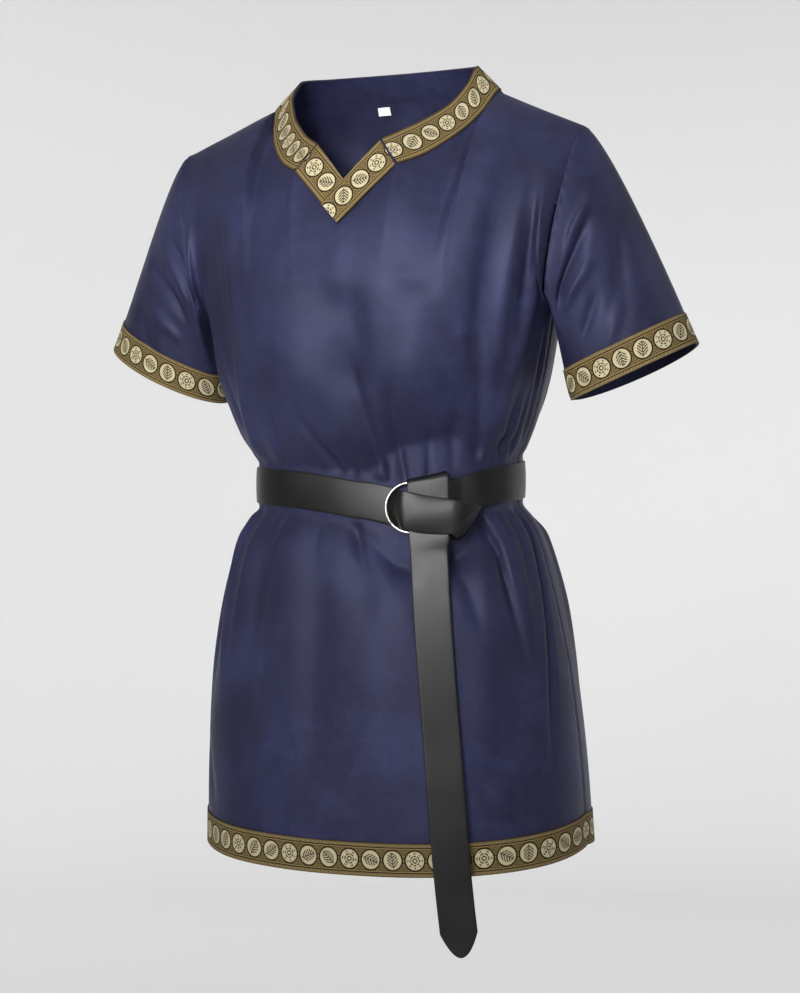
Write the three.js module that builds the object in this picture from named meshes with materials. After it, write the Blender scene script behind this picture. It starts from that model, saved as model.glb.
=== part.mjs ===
// A hip-length tunic with short sleeves, filled out as if worn, with woven ribbon round the neck,
// cuffs and hem and a leather strap belt knotted through a metal ring.
// Millimetres. +Z is up, the front faces -Y and +X is the wearer's left.
// The origin is between the shoulders, level with the sides of the neck opening.

import * as THREE from "three";

// Thicknesses and the air between two sewn or touching pieces.
const CLOTH = 1.2;
const RIBBON = 1.0;
const STRAP = 1.8;
const SEAM = 0.3;
const ON_CLOTH = CLOTH / 2 + SEAM + RIBBON / 2;

// Driving sizes.
const RIBBON_WIDE = 32;
const STRAP_WIDE = 37;
const SHOULDER_HALF = 218;
const UNDERARM = -237;
const YOKE_RISE = 200;
const TOP = UNDERARM + YOKE_RISE;
const BELT_LEVEL = -404;
const HEM = -769;
const HEM_DIP = -23;
const ROUNDNESS = 2.3;

// Cross sections of the body. level: nominal height. half: half the width. side, front, back: where
// the side seam, the front and the back lie in Y. belt, hem: share of the belt's and the hem's dip.
const SECTIONS = [
  { level: -769, half: 205, side: 49, front: -84, back: 179, belt: 0, hem: 1 },
  { level: -700, half: 202.5, side: 44, front: -86, back: 173, belt: 0.1, hem: 0.8 },
  { level: -600, half: 194, side: 34, front: -86, back: 160, belt: 0.3, hem: 0.5 },
  { level: -540, half: 184, side: 28, front: -85, back: 149, belt: 0.5, hem: 0.3 },
  { level: -490, half: 172, side: 25, front: -81, back: 137, belt: 0.75, hem: 0.1 },
  { level: -458, half: 161, side: 26, front: -76, back: 128, belt: 0.92, hem: 0 },
  { level: -440, half: 148.5, side: 28, front: -70.5, back: 124, belt: 1, hem: 0 },
  { level: -427, half: 139.5, side: 27, front: -66, back: 120, belt: 1, hem: 0 },
  { level: -404, half: 139.5, side: 27, front: -66, back: 120, belt: 1, hem: 0 },
  { level: -381, half: 139.5, side: 27, front: -66, back: 120, belt: 1, hem: 0 },
  { level: -370, half: 145.5, side: 26, front: -72, back: 122, belt: 0.97, hem: 0 },
  { level: -350, half: 154.5, side: 23, front: -83, back: 124, belt: 0.85, hem: 0 },
  { level: -325, half: 163.5, side: 19, front: -93, back: 125, belt: 0.65, hem: 0 },
  { level: -289, half: 174, side: 13, front: -104, back: 125, belt: 0.35, hem: 0 },
  { level: -237, half: 184, side: 8, front: -110, back: 122, belt: 0, hem: 0 },
];

// The belt's middle line. round: degrees from the front centre, + to the wearer's left. dip: height
// above BELT_LEVEL.
const BELT_LINE = [
  { round: -180, dip: 14 },
  { round: -100, dip: 2 },
  { round: -27, dip: -7 },
  { round: -8, dip: -13 },
  { round: 12, dip: -24 },
  { round: 22, dip: -26 },
  { round: 40, dip: -17 },
  { round: 60, dip: -6 },
  { round: 90, dip: 1 },
  { round: 180, dip: 14 },
];

// How far from upright the cloth arrives at its top edge, in degrees: at the neck seam up to
// NECK_SIDE from the middle, and then at the shoulder seam.
const NECK_SIDE = 125;
const FRONT_LEAN = [
  { x: 0, lean: 18 },
  { x: 55, lean: 24 },
  { x: 75, lean: 35 },
  { x: 107, lean: 42 },
  { x: 125, lean: 70 },
  { x: 165, lean: 80 },
  { x: 218, lean: 84 },
];
const BACK_LEAN = [
  { x: 0, lean: 29 },
  { x: 62, lean: 32 },
  { x: 106, lean: 44 },
  { x: 125, lean: 70 },
  { x: 165, lean: 80 },
  { x: 218, lean: 84 },
];
// The shoulder seam, from the side of the neck to the tip of the shoulder.
const SHOULDER_SEAM = [
  { x: 125, y: 18, z: -10 },
  { x: 165, y: 13.5, z: -29 },
  { x: 218, y: 6, z: -53 },
];

// The neck band, from the point of the V round to the centre back. in: the neck edge.
// out: the seam to the front and back. The second row is the corner between slit and round neck.
const NECK = [
  { inX: 0, inY: -89, inZ: -107, outX: 0, outY: -104, outZ: -152 },
  { inX: 34, inY: -77, inZ: -67, outX: 55, outY: -86.4, outZ: -94 },
  { inX: 50, inY: -64, inZ: -57, outX: 75, outY: -70, outZ: -85 },
  { inX: 67, inY: -44, inZ: -44, outX: 92, outY: -52, outZ: -72 },
  { inX: 87, inY: -18, inZ: -23, outX: 108, outY: -28, outZ: -53 },
  { inX: 97, inY: 2, inZ: 2, outX: 118, outY: -6, outZ: -33 },
  { inX: 97, inY: 21, inZ: 18, outX: 125, outY: 18, outZ: -10 },
  { inX: 82, inY: 55, inZ: 26, outX: 106, outY: 62, outZ: -3 },
  { inX: 48, inY: 74, inZ: 30, outX: 62, outY: 90, outZ: 2 },
  { inX: 0, inY: 80, inZ: 31, outX: 0, outY: 97, outZ: 4 },
];

// Armholes: how far round the body their edges stop short of the side, as a share, on the front and
// the back, and how that share grows from the underarm and fades to the shoulder.
const ARMHOLE = { front: 0.22, back: 0.2, grow: 0.4, fade: 1.3, most: 0.393 };

// Sleeves: hand 1 is the wearer's left. The cuff's centre, its half width and half depth, how far it
// hangs from upright, and how much lower its front edge is.
const CUFFS = [
  { hand: 1, name: "left", x: 260, y: 36, z: -294.5, half: 67.6, deep: 51, slope: 23, frontDip: 9 },
  { hand: -1, name: "right", x: 260, y: 36, z: -283, half: 72.5, deep: 52, slope: 26.5, frontDip: 9 },
];

// Folds. side: -1 front, 1 back. turn: degrees from the centre, + to the wearer's left. level: height.
// wide: half width. deep: depth, negative for a ridge.
const FOLDS = [
  { side: -1, turn: 0, level: -190, toTurn: 13, toLevel: -375, wide: 17, deep: 6 },
  { side: -1, turn: 62, level: -120, toTurn: 47, toLevel: -270, wide: 15, deep: 7 },
  { side: -1, turn: 47, level: -250, toTurn: 53, toLevel: -375, wide: 14, deep: 6 },
  { side: -1, turn: 72, level: -150, toTurn: 60, toLevel: -350, wide: 13, deep: -5 },
  { side: -1, turn: -54, level: -110, toTurn: -44, toLevel: -370, wide: 13, deep: -6 },
  { side: -1, turn: -66, level: -150, toTurn: -58, toLevel: -350, wide: 15, deep: 6 },
  { side: -1, turn: -30, level: -330, toTurn: -20, toLevel: -378, wide: 10, deep: 4 },
  { side: -1, turn: 3, level: -434, toTurn: 6, toLevel: -520, wide: 13, deep: 5 },
  { side: -1, turn: 52, level: -436, toTurn: 62, toLevel: -560, wide: 14, deep: 6 },
  { side: -1, turn: 80, level: -436, toTurn: 70, toLevel: -660, wide: 12, deep: -6 },
  { side: -1, turn: -46, level: -436, toTurn: -50, toLevel: -640, wide: 14, deep: -6 },
  { side: -1, turn: -66, level: -440, toTurn: -72, toLevel: -600, wide: 16, deep: 7 },
  { side: -1, turn: -20, level: -436, toTurn: -26, toLevel: -580, wide: 20, deep: -3 },
  { side: 1, turn: 4, level: -150, toTurn: -6, toLevel: -374, wide: 18, deep: 6 },
  { side: 1, turn: 52, level: -160, toTurn: 36, toLevel: -372, wide: 15, deep: 7 },
  { side: 1, turn: -50, level: -140, toTurn: -38, toLevel: -374, wide: 15, deep: 7 },
  { side: 1, turn: 66, level: -170, toTurn: 60, toLevel: -366, wide: 13, deep: -5 },
  { side: 1, turn: -68, level: -170, toTurn: -62, toLevel: -366, wide: 13, deep: -5 },
  { side: 1, turn: 10, level: -436, toTurn: 14, toLevel: -600, wide: 16, deep: 6 },
  { side: 1, turn: -34, level: -436, toTurn: -42, toLevel: -640, wide: 16, deep: 7 },
  { side: 1, turn: 44, level: -436, toTurn: 52, toLevel: -660, wide: 16, deep: 7 },
  { side: 1, turn: -10, level: -438, toTurn: -12, toLevel: -560, wide: 13, deep: -4 },
  { side: 1, turn: 72, level: -440, toTurn: 76, toLevel: -600, wide: 14, deep: -5 },
];
const MM_PER_DEGREE = 2.9;

// Gathers pressed in by the belt: waves round half the waist, their height, and how far above and
// below the belt they reach.
const GATHERS = {
  waves: 11,
  high: 2.4,
  clear: 22,
  reach: 60,
  start: 14,
  phase: 1.3,
  uneven: 0.3,
  swells: 5,
};
const FOLDS_FREE = 16;
const FOLD_TAPER = 0.7;

// Where the knot holds the cloth in, so that it lies as close as under the belt.
const HOLD = { turn: 31, wide: 24, above: 34, below: 52, fade: 30 };

// The belt: the ring's place along the waist, its size, how far out its middle is and how its left
// side leans in.
const RING = { turn: 22, z: -430, radius: 24.5, wire: 1.4, out: 5.6, tilt: 1.3 };
// The knot's layers. The strap lies on the cloth at STRAP_OUT. EYE: from the ring's wire to the strap
// looped round it. TAIL_DEPTH, WRAP_DEPTH: in front of the ring's plane.
const STRAP_OUT = SEAM + STRAP / 2 + 0.1;
const NEXT_LAYER = STRAP + SEAM;
const EYE = RING.wire + 3.6 * SEAM + STRAP / 2;
const TAIL_DEPTH = EYE + NEXT_LAYER;
const WRAP_DEPTH = TAIL_DEPTH + NEXT_LAYER;
// The two folds of the knot: centre across and up from the ring's centre, and slope in degrees.
const LOW_FOLD = { across: 50.6, up: -11.5, slope: 47, half: 19.8, out: 6.5 };
const HIGH_FOLD = { across: 16.5, up: 25.4, slope: 9, half: 18.9 };
const WRAP_SLOPE = 13.8;
// The hanging end, from its tip up. x: its middle. z: height. TAIL_POINT: length of the pointed end.
const TAIL = [
  { z: -867, x: 114.5 },
  { z: -800, x: 107 },
  { z: -700, x: 99 },
  { z: -560, x: 88 },
  { z: -462, x: 81 },
];
const TAIL_POINT = 24;

// Colours of the cloth, the ribbon, the leather and the metal.
const NAVY = new THREE.MeshStandardMaterial({ color: 0x34355a, roughness: 0.45, metalness: 0 });
const GOLD = new THREE.MeshStandardMaterial({ color: 0x8a7444, roughness: 0.6, metalness: 0.1 });
const BLACK = new THREE.MeshStandardMaterial({ color: 0x1d1d1d, roughness: 0.42, metalness: 0 });
const NICKEL = new THREE.MeshStandardMaterial({ color: 0xb9b3aa, roughness: 0.25, metalness: 1 });
const WHITE = new THREE.MeshStandardMaterial({ color: 0xe8e8e6, roughness: 0.7, metalness: 0 });

const rad = (degrees) => (degrees * Math.PI) / 180;
const mix = (a, b, t) => a + (b - a) * t;
const clamp = (v, low, high) => Math.min(high, Math.max(low, v));
const ease = (v) => {
  const t = clamp(v, 0, 1);
  return t * t * (3 - 2 * t);
};
const steps = (from, to, count) =>
  Array.from({ length: count + 1 }, (_, i) => mix(from, to, i / count));

// Reads a column of a table at a place between its rows: a cubic that never overshoots.
function read(table, key, column, at) {
  const last = table.length - 1;
  const place = clamp(at, table[0][key], table[last][key]);
  let i = 0;
  while (i < last - 1 && place > table[i + 1][key]) i++;
  const span = (k) => table[k + 1][key] - table[k][key];
  const slope = (k) => (table[k + 1][column] - table[k][column]) / span(k);
  const tangent = (k) => {
    if (k === 0) return slope(0);
    if (k === last) return slope(last - 1);
    const before = slope(k - 1);
    const after = slope(k);
    return before * after <= 0 ? 0 : (2 * before * after) / (before + after);
  };
  const t = (place - table[i][key]) / span(i);
  const [a, b] = [table[i][column], table[i + 1][column]];
  const [m, n] = [tangent(i) * span(i), tangent(i + 1) * span(i)];
  return (
    a * (1 + 2 * t) * (1 - t) ** 2 + b * t * t * (3 - 2 * t) + m * t * (1 - t) ** 2 - n * t * t * (1 - t)
  );
}
const section = (column, level) => read(SECTIONS, "level", column, level);

// Hermite curve between two points with given tangents.
function hermite(a, tangentA, b, tangentB, t) {
  const point = new THREE.Vector3();
  point.addScaledVector(a, (1 + 2 * t) * (1 - t) ** 2);
  point.addScaledVector(tangentA, t * (1 - t) ** 2);
  point.addScaledVector(b, t * t * (3 - 2 * t));
  point.addScaledVector(tangentB, -t * t * (1 - t));
  return point;
}

// How far towards the front or back of the rounded oval a column stands, from 0 at the side to 1.
const outward = (turn) => Math.max(0, Math.cos(rad(turn))) ** (2 / ROUNDNESS);

// How tightly the knot holds the cloth, from 0 to 1.
function holdAt(side, turn, level) {
  if (side > 0) return 0;
  const reach = level > BELT_LEVEL ? level - BELT_LEVEL - HOLD.above : BELT_LEVEL - level - HOLD.below;
  return Math.exp(-(((turn - HOLD.turn) / HOLD.wide) ** 4)) * (1 - ease(reach / HOLD.fade));
}

// The body's cloth below the underarm: a rounded oval at each level, sagging with belt and hem.
function lowerPoint(side, turn, level) {
  const across = Math.sign(turn) * Math.abs(Math.sin(rad(turn))) ** (2 / ROUNDNESS);
  const out = outward(turn);
  const tight = level - (level - BELT_LEVEL) * holdAt(side, turn, level);
  const sideY = section("side", tight);
  const reach = section(side < 0 ? "front" : "back", tight);
  const round = side < 0 ? turn : (turn < 0 ? -180 : 180) - turn;
  const belt = section("belt", level) * read(BELT_LINE, "round", "dip", round);
  const hem = section("hem", level) * (side < 0 ? HEM_DIP * out : 0);
  return new THREE.Vector3(
    section("half", tight) * across,
    mix(sideY, reach, out) + side * SEAM,
    level + belt + hem,
  );
}

// The neck band. place: rows of the NECK table, + to the wearer's left. share: 0 at the seam, 1 at
// the neck edge.
const NECK_ROWS = NECK.map((row, i) => ({ ...row, i }));
const NECK_BACK = NECK.length - 1;
const NECK_SHOULDER = NECK.findIndex((row) => row.outX === NECK_SIDE);
function neckPoint(place, share) {
  const at = Math.abs(place);
  const rows = at <= 1 ? NECK_ROWS.slice(0, 2) : NECK_ROWS.slice(1);
  const value = (axis) => mix(read(rows, "i", `out${axis}`, at), read(rows, "i", `in${axis}`, at), share);
  return new THREE.Vector3(Math.sign(place) * value("X"), value("Y"), value("Z"));
}

// The place on the neck seam that lies a distance from the middle, on the front or the back.
function neckPlace(side, x) {
  let [near, far] = side < 0 ? [0, NECK_SHOULDER] : [NECK_BACK, NECK_SHOULDER];
  for (let i = 0; i < 40; i++) {
    const middle = (near + far) / 2;
    if (neckPoint(middle, 0).x < x) near = middle;
    else far = middle;
  }
  return (near + far) / 2;
}
function topEdge(side, x) {
  if (x < NECK_SIDE) return neckPoint(neckPlace(side, x), 0).setX(x);
  return new THREE.Vector3(x, read(SHOULDER_SEAM, "x", "y", x), read(SHOULDER_SEAM, "x", "z", x));
}

// The cloth above the underarm: each column runs from the underarm's oval up to the top edge.
function upperPoint(side, turn, level) {
  const t = (level - UNDERARM) / YOKE_RISE;
  const share = Math.abs(Math.sin(rad(turn))) ** (2 / ROUNDNESS);
  const hand = Math.sign(turn);
  const x = SHOULDER_HALF * share;
  const lean = rad(read(side < 0 ? FRONT_LEAN : BACK_LEAN, "x", "lean", x));
  const top = topEdge(side, x);
  const arrive = new THREE.Vector3(0, -side * Math.sin(lean), Math.cos(lean));
  top.x *= hand;
  top.y += side * SEAM;
  if (x < NECK_SIDE + 1) top.addScaledVector(arrive, -5 * SEAM);
  const start = lowerPoint(side, turn, UNDERARM);
  const leave = start.clone().sub(lowerPoint(side, turn, UNDERARM - 4)).normalize();
  const chord = top.distanceTo(start);
  const settle = chord * mix(1, 0.35, ease((x - NECK_SIDE) / (SHOULDER_HALF - NECK_SIDE)));
  const point = hermite(start, leave.multiplyScalar(chord), top, arrive.multiplyScalar(settle), t);
  const rise = clamp(t, 0, 1);
  const stop = (side < 0 ? ARMHOLE.front : ARMHOLE.back) / ARMHOLE.most;
  const short = stop * rise ** ARMHOLE.grow * (1 - rise) ** ARMHOLE.fade;
  const depth = section(side < 0 ? "front" : "back", UNDERARM) - section("side", UNDERARM);
  point.y += depth * (outward(turn * (1 - short)) - outward(turn));
  return point;
}
const smoothPoint = (side, turn, level) =>
  level <= UNDERARM ? lowerPoint(side, turn, level) : upperPoint(side, turn, level);

// How far the folds and gathers move the cloth outwards at a place.
function creaseAt(side, turn, level) {
  let out = 0;
  for (const fold of FOLDS) {
    if (fold.side !== side) continue;
    const run = [(fold.toTurn - fold.turn) * MM_PER_DEGREE, fold.toLevel - fold.level];
    const here = [(turn - fold.turn) * MM_PER_DEGREE, level - fold.level];
    const length = Math.hypot(...run);
    const along = (here[0] * run[0] + here[1] * run[1]) / length ** 2;
    const away = (here[0] * run[1] - here[1] * run[0]) / length;
    const taper = Math.sin(Math.PI * clamp(along, 0, 1)) ** FOLD_TAPER;
    out -= fold.deep * taper * Math.exp(-((away / fold.wide) ** 2));
  }
  const above = Math.abs(level - BELT_LEVEL) - GATHERS.clear;
  const press = above > 0 ? ease(above / GATHERS.start) * Math.exp(-((above / GATHERS.reach) ** 2)) : 0;
  const uneven = 1 - GATHERS.uneven * (1 - Math.sin(rad(turn * GATHERS.swells)));
  const wave = Math.cos(rad(turn * GATHERS.waves) + GATHERS.phase * side) * uneven;
  const free = ease(above / FOLDS_FREE);
  return (out * free + GATHERS.high * press * wave) * (1 - holdAt(side, turn, level));
}

// How near its seams the cloth lies flat, in turn and level.
const FLAT_EDGE = { turn: 6, level: 20 };

// A point of the body's cloth, creased, and the way out of it there.
function clothPoint(side, turn, level) {
  const step = 0.4;
  const turnA = clamp(turn - step, -90, 90);
  const turnB = clamp(turn + step, -90, 90);
  const sideways = smoothPoint(side, turnB, level).sub(smoothPoint(side, turnA, level));
  const upwards = smoothPoint(side, turn, Math.min(level + step, TOP)).sub(
    smoothPoint(side, turn, level - step),
  );
  const normal = sideways.cross(upwards).multiplyScalar(-side).normalize();
  const edge = ease((90 - Math.abs(turn)) / FLAT_EDGE.turn) * ease((TOP - level) / FLAT_EDGE.level);
  const hemEdge = level < HEM ? 0 : 1;
  const point = smoothPoint(side, turn, level);
  point.addScaledVector(normal, creaseAt(side, turn, level) * edge * hemEdge);
  return { point, normal };
}

// The way out of a grid of points at one of them, from its neighbours. ring: the last column meets
// the first.
function gridNormal(rows, r, c, ring) {
  const columns = rows[r].length;
  const left = ring ? (c - 1 + columns) % columns : Math.max(c - 1, 0);
  const right = ring ? (c + 1) % columns : Math.min(c + 1, columns - 1);
  const up = rows[Math.min(r + 1, rows.length - 1)][c].clone().sub(rows[Math.max(r - 1, 0)][c]);
  return rows[r][right].clone().sub(rows[r][left]).cross(up).normalize();
}
const lifted = (rows, distance, ring = false) =>
  rows.map((row, r) => row.map((p, c) => p.clone().addScaledVector(gridNormal(rows, r, c, ring), distance)));

// A closed wall of the given thickness about a grid of points.
function wall(rows, thick, ring = false) {
  const outer = lifted(rows, thick / 2, ring);
  const inner = lifted(rows, -thick / 2, ring);
  const columns = rows[0].length;
  const count = rows.length * columns;
  const positions = [...outer.flat(), ...inner.flat()].flatMap((p) => p.toArray());
  const at = (r, c) => r * columns + (c % columns);
  const faces = [];
  const quad = (a, b, c, d) => faces.push(a, b, c, a, c, d);
  const lastColumn = ring ? columns : columns - 1;
  for (let r = 0; r < rows.length - 1; r++) {
    for (let c = 0; c < lastColumn; c++) {
      quad(at(r, c), at(r, c + 1), at(r + 1, c + 1), at(r + 1, c));
      quad(count + at(r, c), count + at(r + 1, c), count + at(r + 1, c + 1), count + at(r, c + 1));
    }
    if (!ring) {
      quad(at(r, 0), at(r + 1, 0), count + at(r + 1, 0), count + at(r, 0));
      const end = columns - 1;
      quad(at(r, end), count + at(r, end), count + at(r + 1, end), at(r + 1, end));
    }
  }
  const top = rows.length - 1;
  for (let c = 0; c < lastColumn; c++) {
    quad(at(0, c), count + at(0, c), count + at(0, c + 1), at(0, c + 1));
    quad(at(top, c), at(top, c + 1), count + at(top, c + 1), count + at(top, c));
  }
  const geometry = new THREE.BufferGeometry();
  geometry.setAttribute("position", new THREE.Float32BufferAttribute(positions, 3));
  geometry.setIndex(faces);
  geometry.computeVertexNormals();
  return geometry;
}

const tunic = new THREE.Group();
function piece(name, geometry, material) {
  const mesh = new THREE.Mesh(geometry, material);
  mesh.name = name;
  tunic.add(mesh);
  return mesh;
}

// Columns of the body in degrees: one under each of the neck's, given by distance from the middle.
const NECK_COLUMNS = [0, 28, 55, 73, 89, 104, 116, NECK_SIDE];
const turnAt = (x) => (Math.asin((x / SHOULDER_HALF) ** (ROUNDNESS / 2)) * 180) / Math.PI;
const HALF_TURNS = [...NECK_COLUMNS.map(turnAt), 38, 45, 52, 59, 66, 73, 79, 85, 90];
const TURNS = [...HALF_TURNS.slice(1).map((turn) => -turn).reverse(), ...HALF_TURNS];
const RIBBON_LEVEL = HEM + RIBBON_WIDE;
const YOKE_STEPS = [0.07, 0.17, 0.29, 0.42, 0.55, 0.68, 0.8, 0.91];
const LEVELS = [
  ...[HEM, RIBBON_LEVEL, -690, -635, -580, -535, -500, -472, -452, -438, -426],
  ...[-404, -382, -372, -358, -335, -305, -270, UNDERARM],
  ...[...YOKE_STEPS, 1].map((t) => UNDERARM + t * YOKE_RISE),
];

// The front runs from the wearer's right to left and the back the other way, so both face out.
function body(side) {
  const turns = side < 0 ? TURNS : [...TURNS].reverse();
  return LEVELS.map((level) => turns.map((turn) => clothPoint(side, turn, level).point));
}
piece("front", wall(body(-1), CLOTH), NAVY);
piece("back", wall(body(1), CLOTH), NAVY);

// The ribbon round the hem lies on both panels.
function hemRibbon() {
  const level = [HEM, HEM + RIBBON_WIDE / 2, RIBBON_LEVEL];
  const rows = level.map((height) => [
    ...TURNS.slice(0, -1).map((turn) => clothPoint(-1, turn, height).point),
    ...[...TURNS].reverse().slice(0, -1).map((turn) => clothPoint(1, turn, height).point),
  ]);
  return wall(lifted(rows, ON_CLOTH, true), RIBBON, true);
}
piece("hem_ribbon", hemRibbon(), GOLD);

// A sleeve: columns run from the armhole's edge to the cuff. share: 0 at the armhole, 1 at the cuff.
const ARM_LOOP = [
  { side: -1, t: 0 },
  ...YOKE_STEPS.map((t) => ({ side: -1, t })),
  { side: -1, t: 1 },
  ...[...YOKE_STEPS].reverse().map((t) => ({ side: 1, t })),
];
const loopTurn = ({ side, t }) => (side < 0 ? 180 * t ** 0.88 : 360 - 180 * t ** 0.88);
function sleevePoint(cuff, stop, share) {
  const { side, t } = stop;
  const around = rad(loopTurn(stop));
  const rise = (1 - Math.cos(around)) / 2;
  const start = smoothPoint(side, 90, UNDERARM + t * YOKE_RISE);
  if (t === 0 || t === 1) start.y -= side * SEAM;
  const slope = rad(cuff.slope);
  const outer = new THREE.Vector3(Math.cos(slope), 0, Math.sin(slope));
  const axis = new THREE.Vector3(Math.sin(slope), 0.08, -Math.cos(slope)).normalize();
  const end = new THREE.Vector3(cuff.x, cuff.y, cuff.z);
  end.addScaledVector(outer, -cuff.half * Math.cos(around));
  end.y -= cuff.deep * Math.sin(around);
  end.z -= cuff.frontDip * Math.max(0, Math.sin(around));
  const leave = new THREE.Vector3(mix(0.5, 0.8, rise), 0.06, -mix(0.86, 0.6, rise)).normalize();
  start.x += (1 - rise ** 3) * 5.4 * SEAM;
  start.addScaledVector(leave, mix(1, 3.4, rise) * SEAM);
  const tangentA = leave.clone().multiplyScalar(mix(70, 95, rise));
  const tangentB = axis.multiplyScalar(mix(80, 200, rise));
  const point = hermite(start, tangentA, end, tangentB, share);
  return point.setX(cuff.hand * point.x);
}

// Folds of a sleeve. around: degrees from the underarm, forwards. share: from armhole to cuff.
const SLEEVE_FOLDS = [
  { around: 70, share: 0.2, toAround: 105, toShare: 0.85, wide: 14, deep: 5 },
  { around: 115, share: 0.35, toAround: 140, toShare: 0.9, wide: 14, deep: 4 },
  { around: 90, share: 0.3, toAround: 122, toShare: 0.9, wide: 12, deep: -3 },
  { around: 280, share: 0.25, toAround: 250, toShare: 0.85, wide: 14, deep: 5 },
  { around: 235, share: 0.3, toAround: 215, toShare: 0.85, wide: 14, deep: 4 },
];
function sleeveCrease(around, share) {
  let out = 0;
  for (const fold of SLEEVE_FOLDS) {
    const run = (fold.toAround - fold.around) / (fold.toShare - fold.share);
    const along = (share - fold.share) / (fold.toShare - fold.share);
    const away = (around - fold.around - run * (share - fold.share)) * 1.15;
    const taper = Math.sin(Math.PI * clamp(along, 0, 1));
    out -= fold.deep * taper * Math.exp(-((away / fold.wide) ** 2));
  }
  return out;
}
const CUFF_SHARE = 0.868;
const SLEEVE_SHARES = [1, CUFF_SHARE, 0.79, 0.68, 0.56, 0.43, 0.3, 0.18, 0.08, 0];
function sleeveRows(cuff, shares) {
  const loop = cuff.hand > 0 ? ARM_LOOP : [...ARM_LOOP].reverse();
  const plain = shares.map((share) => loop.map((stop) => sleevePoint(cuff, stop, share)));
  return plain.map((row, r) =>
    row.map((p, c) => {
      const normal = gridNormal(plain, r, c, true);
      return p.clone().addScaledVector(normal, sleeveCrease(loopTurn(loop[c]), shares[r]));
    }),
  );
}
for (const cuff of CUFFS) {
  const rows = sleeveRows(cuff, SLEEVE_SHARES);
  piece(`sleeve_${cuff.name}`, wall(rows, CLOTH, true), NAVY);
  piece(`cuff_ribbon_${cuff.name}`, wall(lifted(rows.slice(0, 2), ON_CLOTH, true), RIBBON, true), GOLD);
}

// The neck band and its ribbon bend at the same places as the panels' top edges.
const bandPlaces = [
  ...NECK_COLUMNS.slice(1).map((x) => neckPlace(-1, x)),
  ...[...NECK_COLUMNS].reverse().slice(1).map((x) => neckPlace(1, x)),
];
const ROUND_STOPS = bandPlaces.filter((place) => place > 1.01);
const BAND_PLACES = [
  ...[...bandPlaces].reverse().slice(1).map((place) => -place),
  0,
  ...bandPlaces,
];
function neckRows(places, start) {
  return [0, 0.5, 1].map((share) => places.map((place) => neckPoint(place, mix(start(place), 1, share))));
}
piece("neck_band", wall(neckRows(BAND_PLACES, () => 0), CLOTH, true), NAVY);

// The ribbon round the neck starts and ends at the corners of the slit, which are mitred.
const MITRE = 0.03;
const RIBBON_STOPS = [1 + MITRE, ...ROUND_STOPS];
const ROUND_PLACES = [...RIBBON_STOPS, ...[...RIBBON_STOPS].reverse().slice(1).map((place) => -place)];
const ribbonStart = (place) => 0.07 * ease((Math.abs(place) - 1) / 3);
piece("neck_ribbon", wall(lifted(neckRows(ROUND_PLACES, ribbonStart), ON_CLOTH), RIBBON), GOLD);

// A ribbon down one side of the slit, on the plane of the slit. Corners as [across, height]; the
// ribbon on the wearer's left lies over the other one and ends in the point.
const SLIT = { y: -89, z: -107, rise: 0.326, side: -0.03 };
function slitRibbon(corners, layers) {
  const [innerTop, innerEnd, outerTop, outerEnd] = corners;
  const rows = steps(0, 1, 4).map((across) =>
    steps(0, 1, 6).map((down) => {
      const x = mix(mix(outerTop[0], outerEnd[0], down), mix(innerTop[0], innerEnd[0], down), across);
      const z = mix(mix(outerTop[1], outerEnd[1], down), mix(innerTop[1], innerEnd[1], down), across);
      const lift = ON_CLOTH + mix(layers[0], layers[1], ease(down * 2)) * (RIBBON + SEAM);
      const out = new THREE.Vector3(0, -1, SLIT.rise).normalize();
      const y = SLIT.y + SLIT.rise * (z - SLIT.z) + SLIT.side * Math.abs(x);
      return new THREE.Vector3(x, y, z).addScaledVector(out, lift);
    }),
  );
  return corners[0][0] > 0 ? rows.map((row) => row.reverse()) : rows;
}
const RIGHT_SLIT = [
  [-33.4, -67.6],
  [3.2, -110.8],
  [-54, -95.2],
  [-7, -144.8],
];
const LEFT_SLIT = [
  [33.4, -67.6],
  [-20.5, -131.1],
  [54, -95.2],
  [0, -152],
];
piece("slit_ribbon_right", wall(slitRibbon(RIGHT_SLIT, [0, 0]), RIBBON), GOLD);
piece("slit_ribbon_left", wall(slitRibbon(LEFT_SLIT, [0.1, 1.15]), RIBBON), GOLD);

// The bare size tab, held in the seam under the neck band at the back.
const TAB = { x: -35, wide: 13.5, high: 6, thick: 1, below: 1.5, stretch: 1.25 };
function sizeTab() {
  const xs = [TAB.x + TAB.wide / 2, TAB.x, TAB.x - TAB.wide / 2];
  const rows = steps(0, 1, 2).map((share) =>
    xs.map((x) => {
      const level = TOP - TAB.below - (1 - share) * TAB.high * TAB.stretch;
      const { point, normal } = clothPoint(1, Math.sign(x) * turnAt(Math.abs(x)), level);
      return point.addScaledVector(normal, -(CLOTH / 2 + 3 * SEAM + TAB.thick / 2));
    }),
  );
  return wall(rows, TAB.thick);
}
piece("size_tab", sizeTab(), WHITE);

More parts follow.
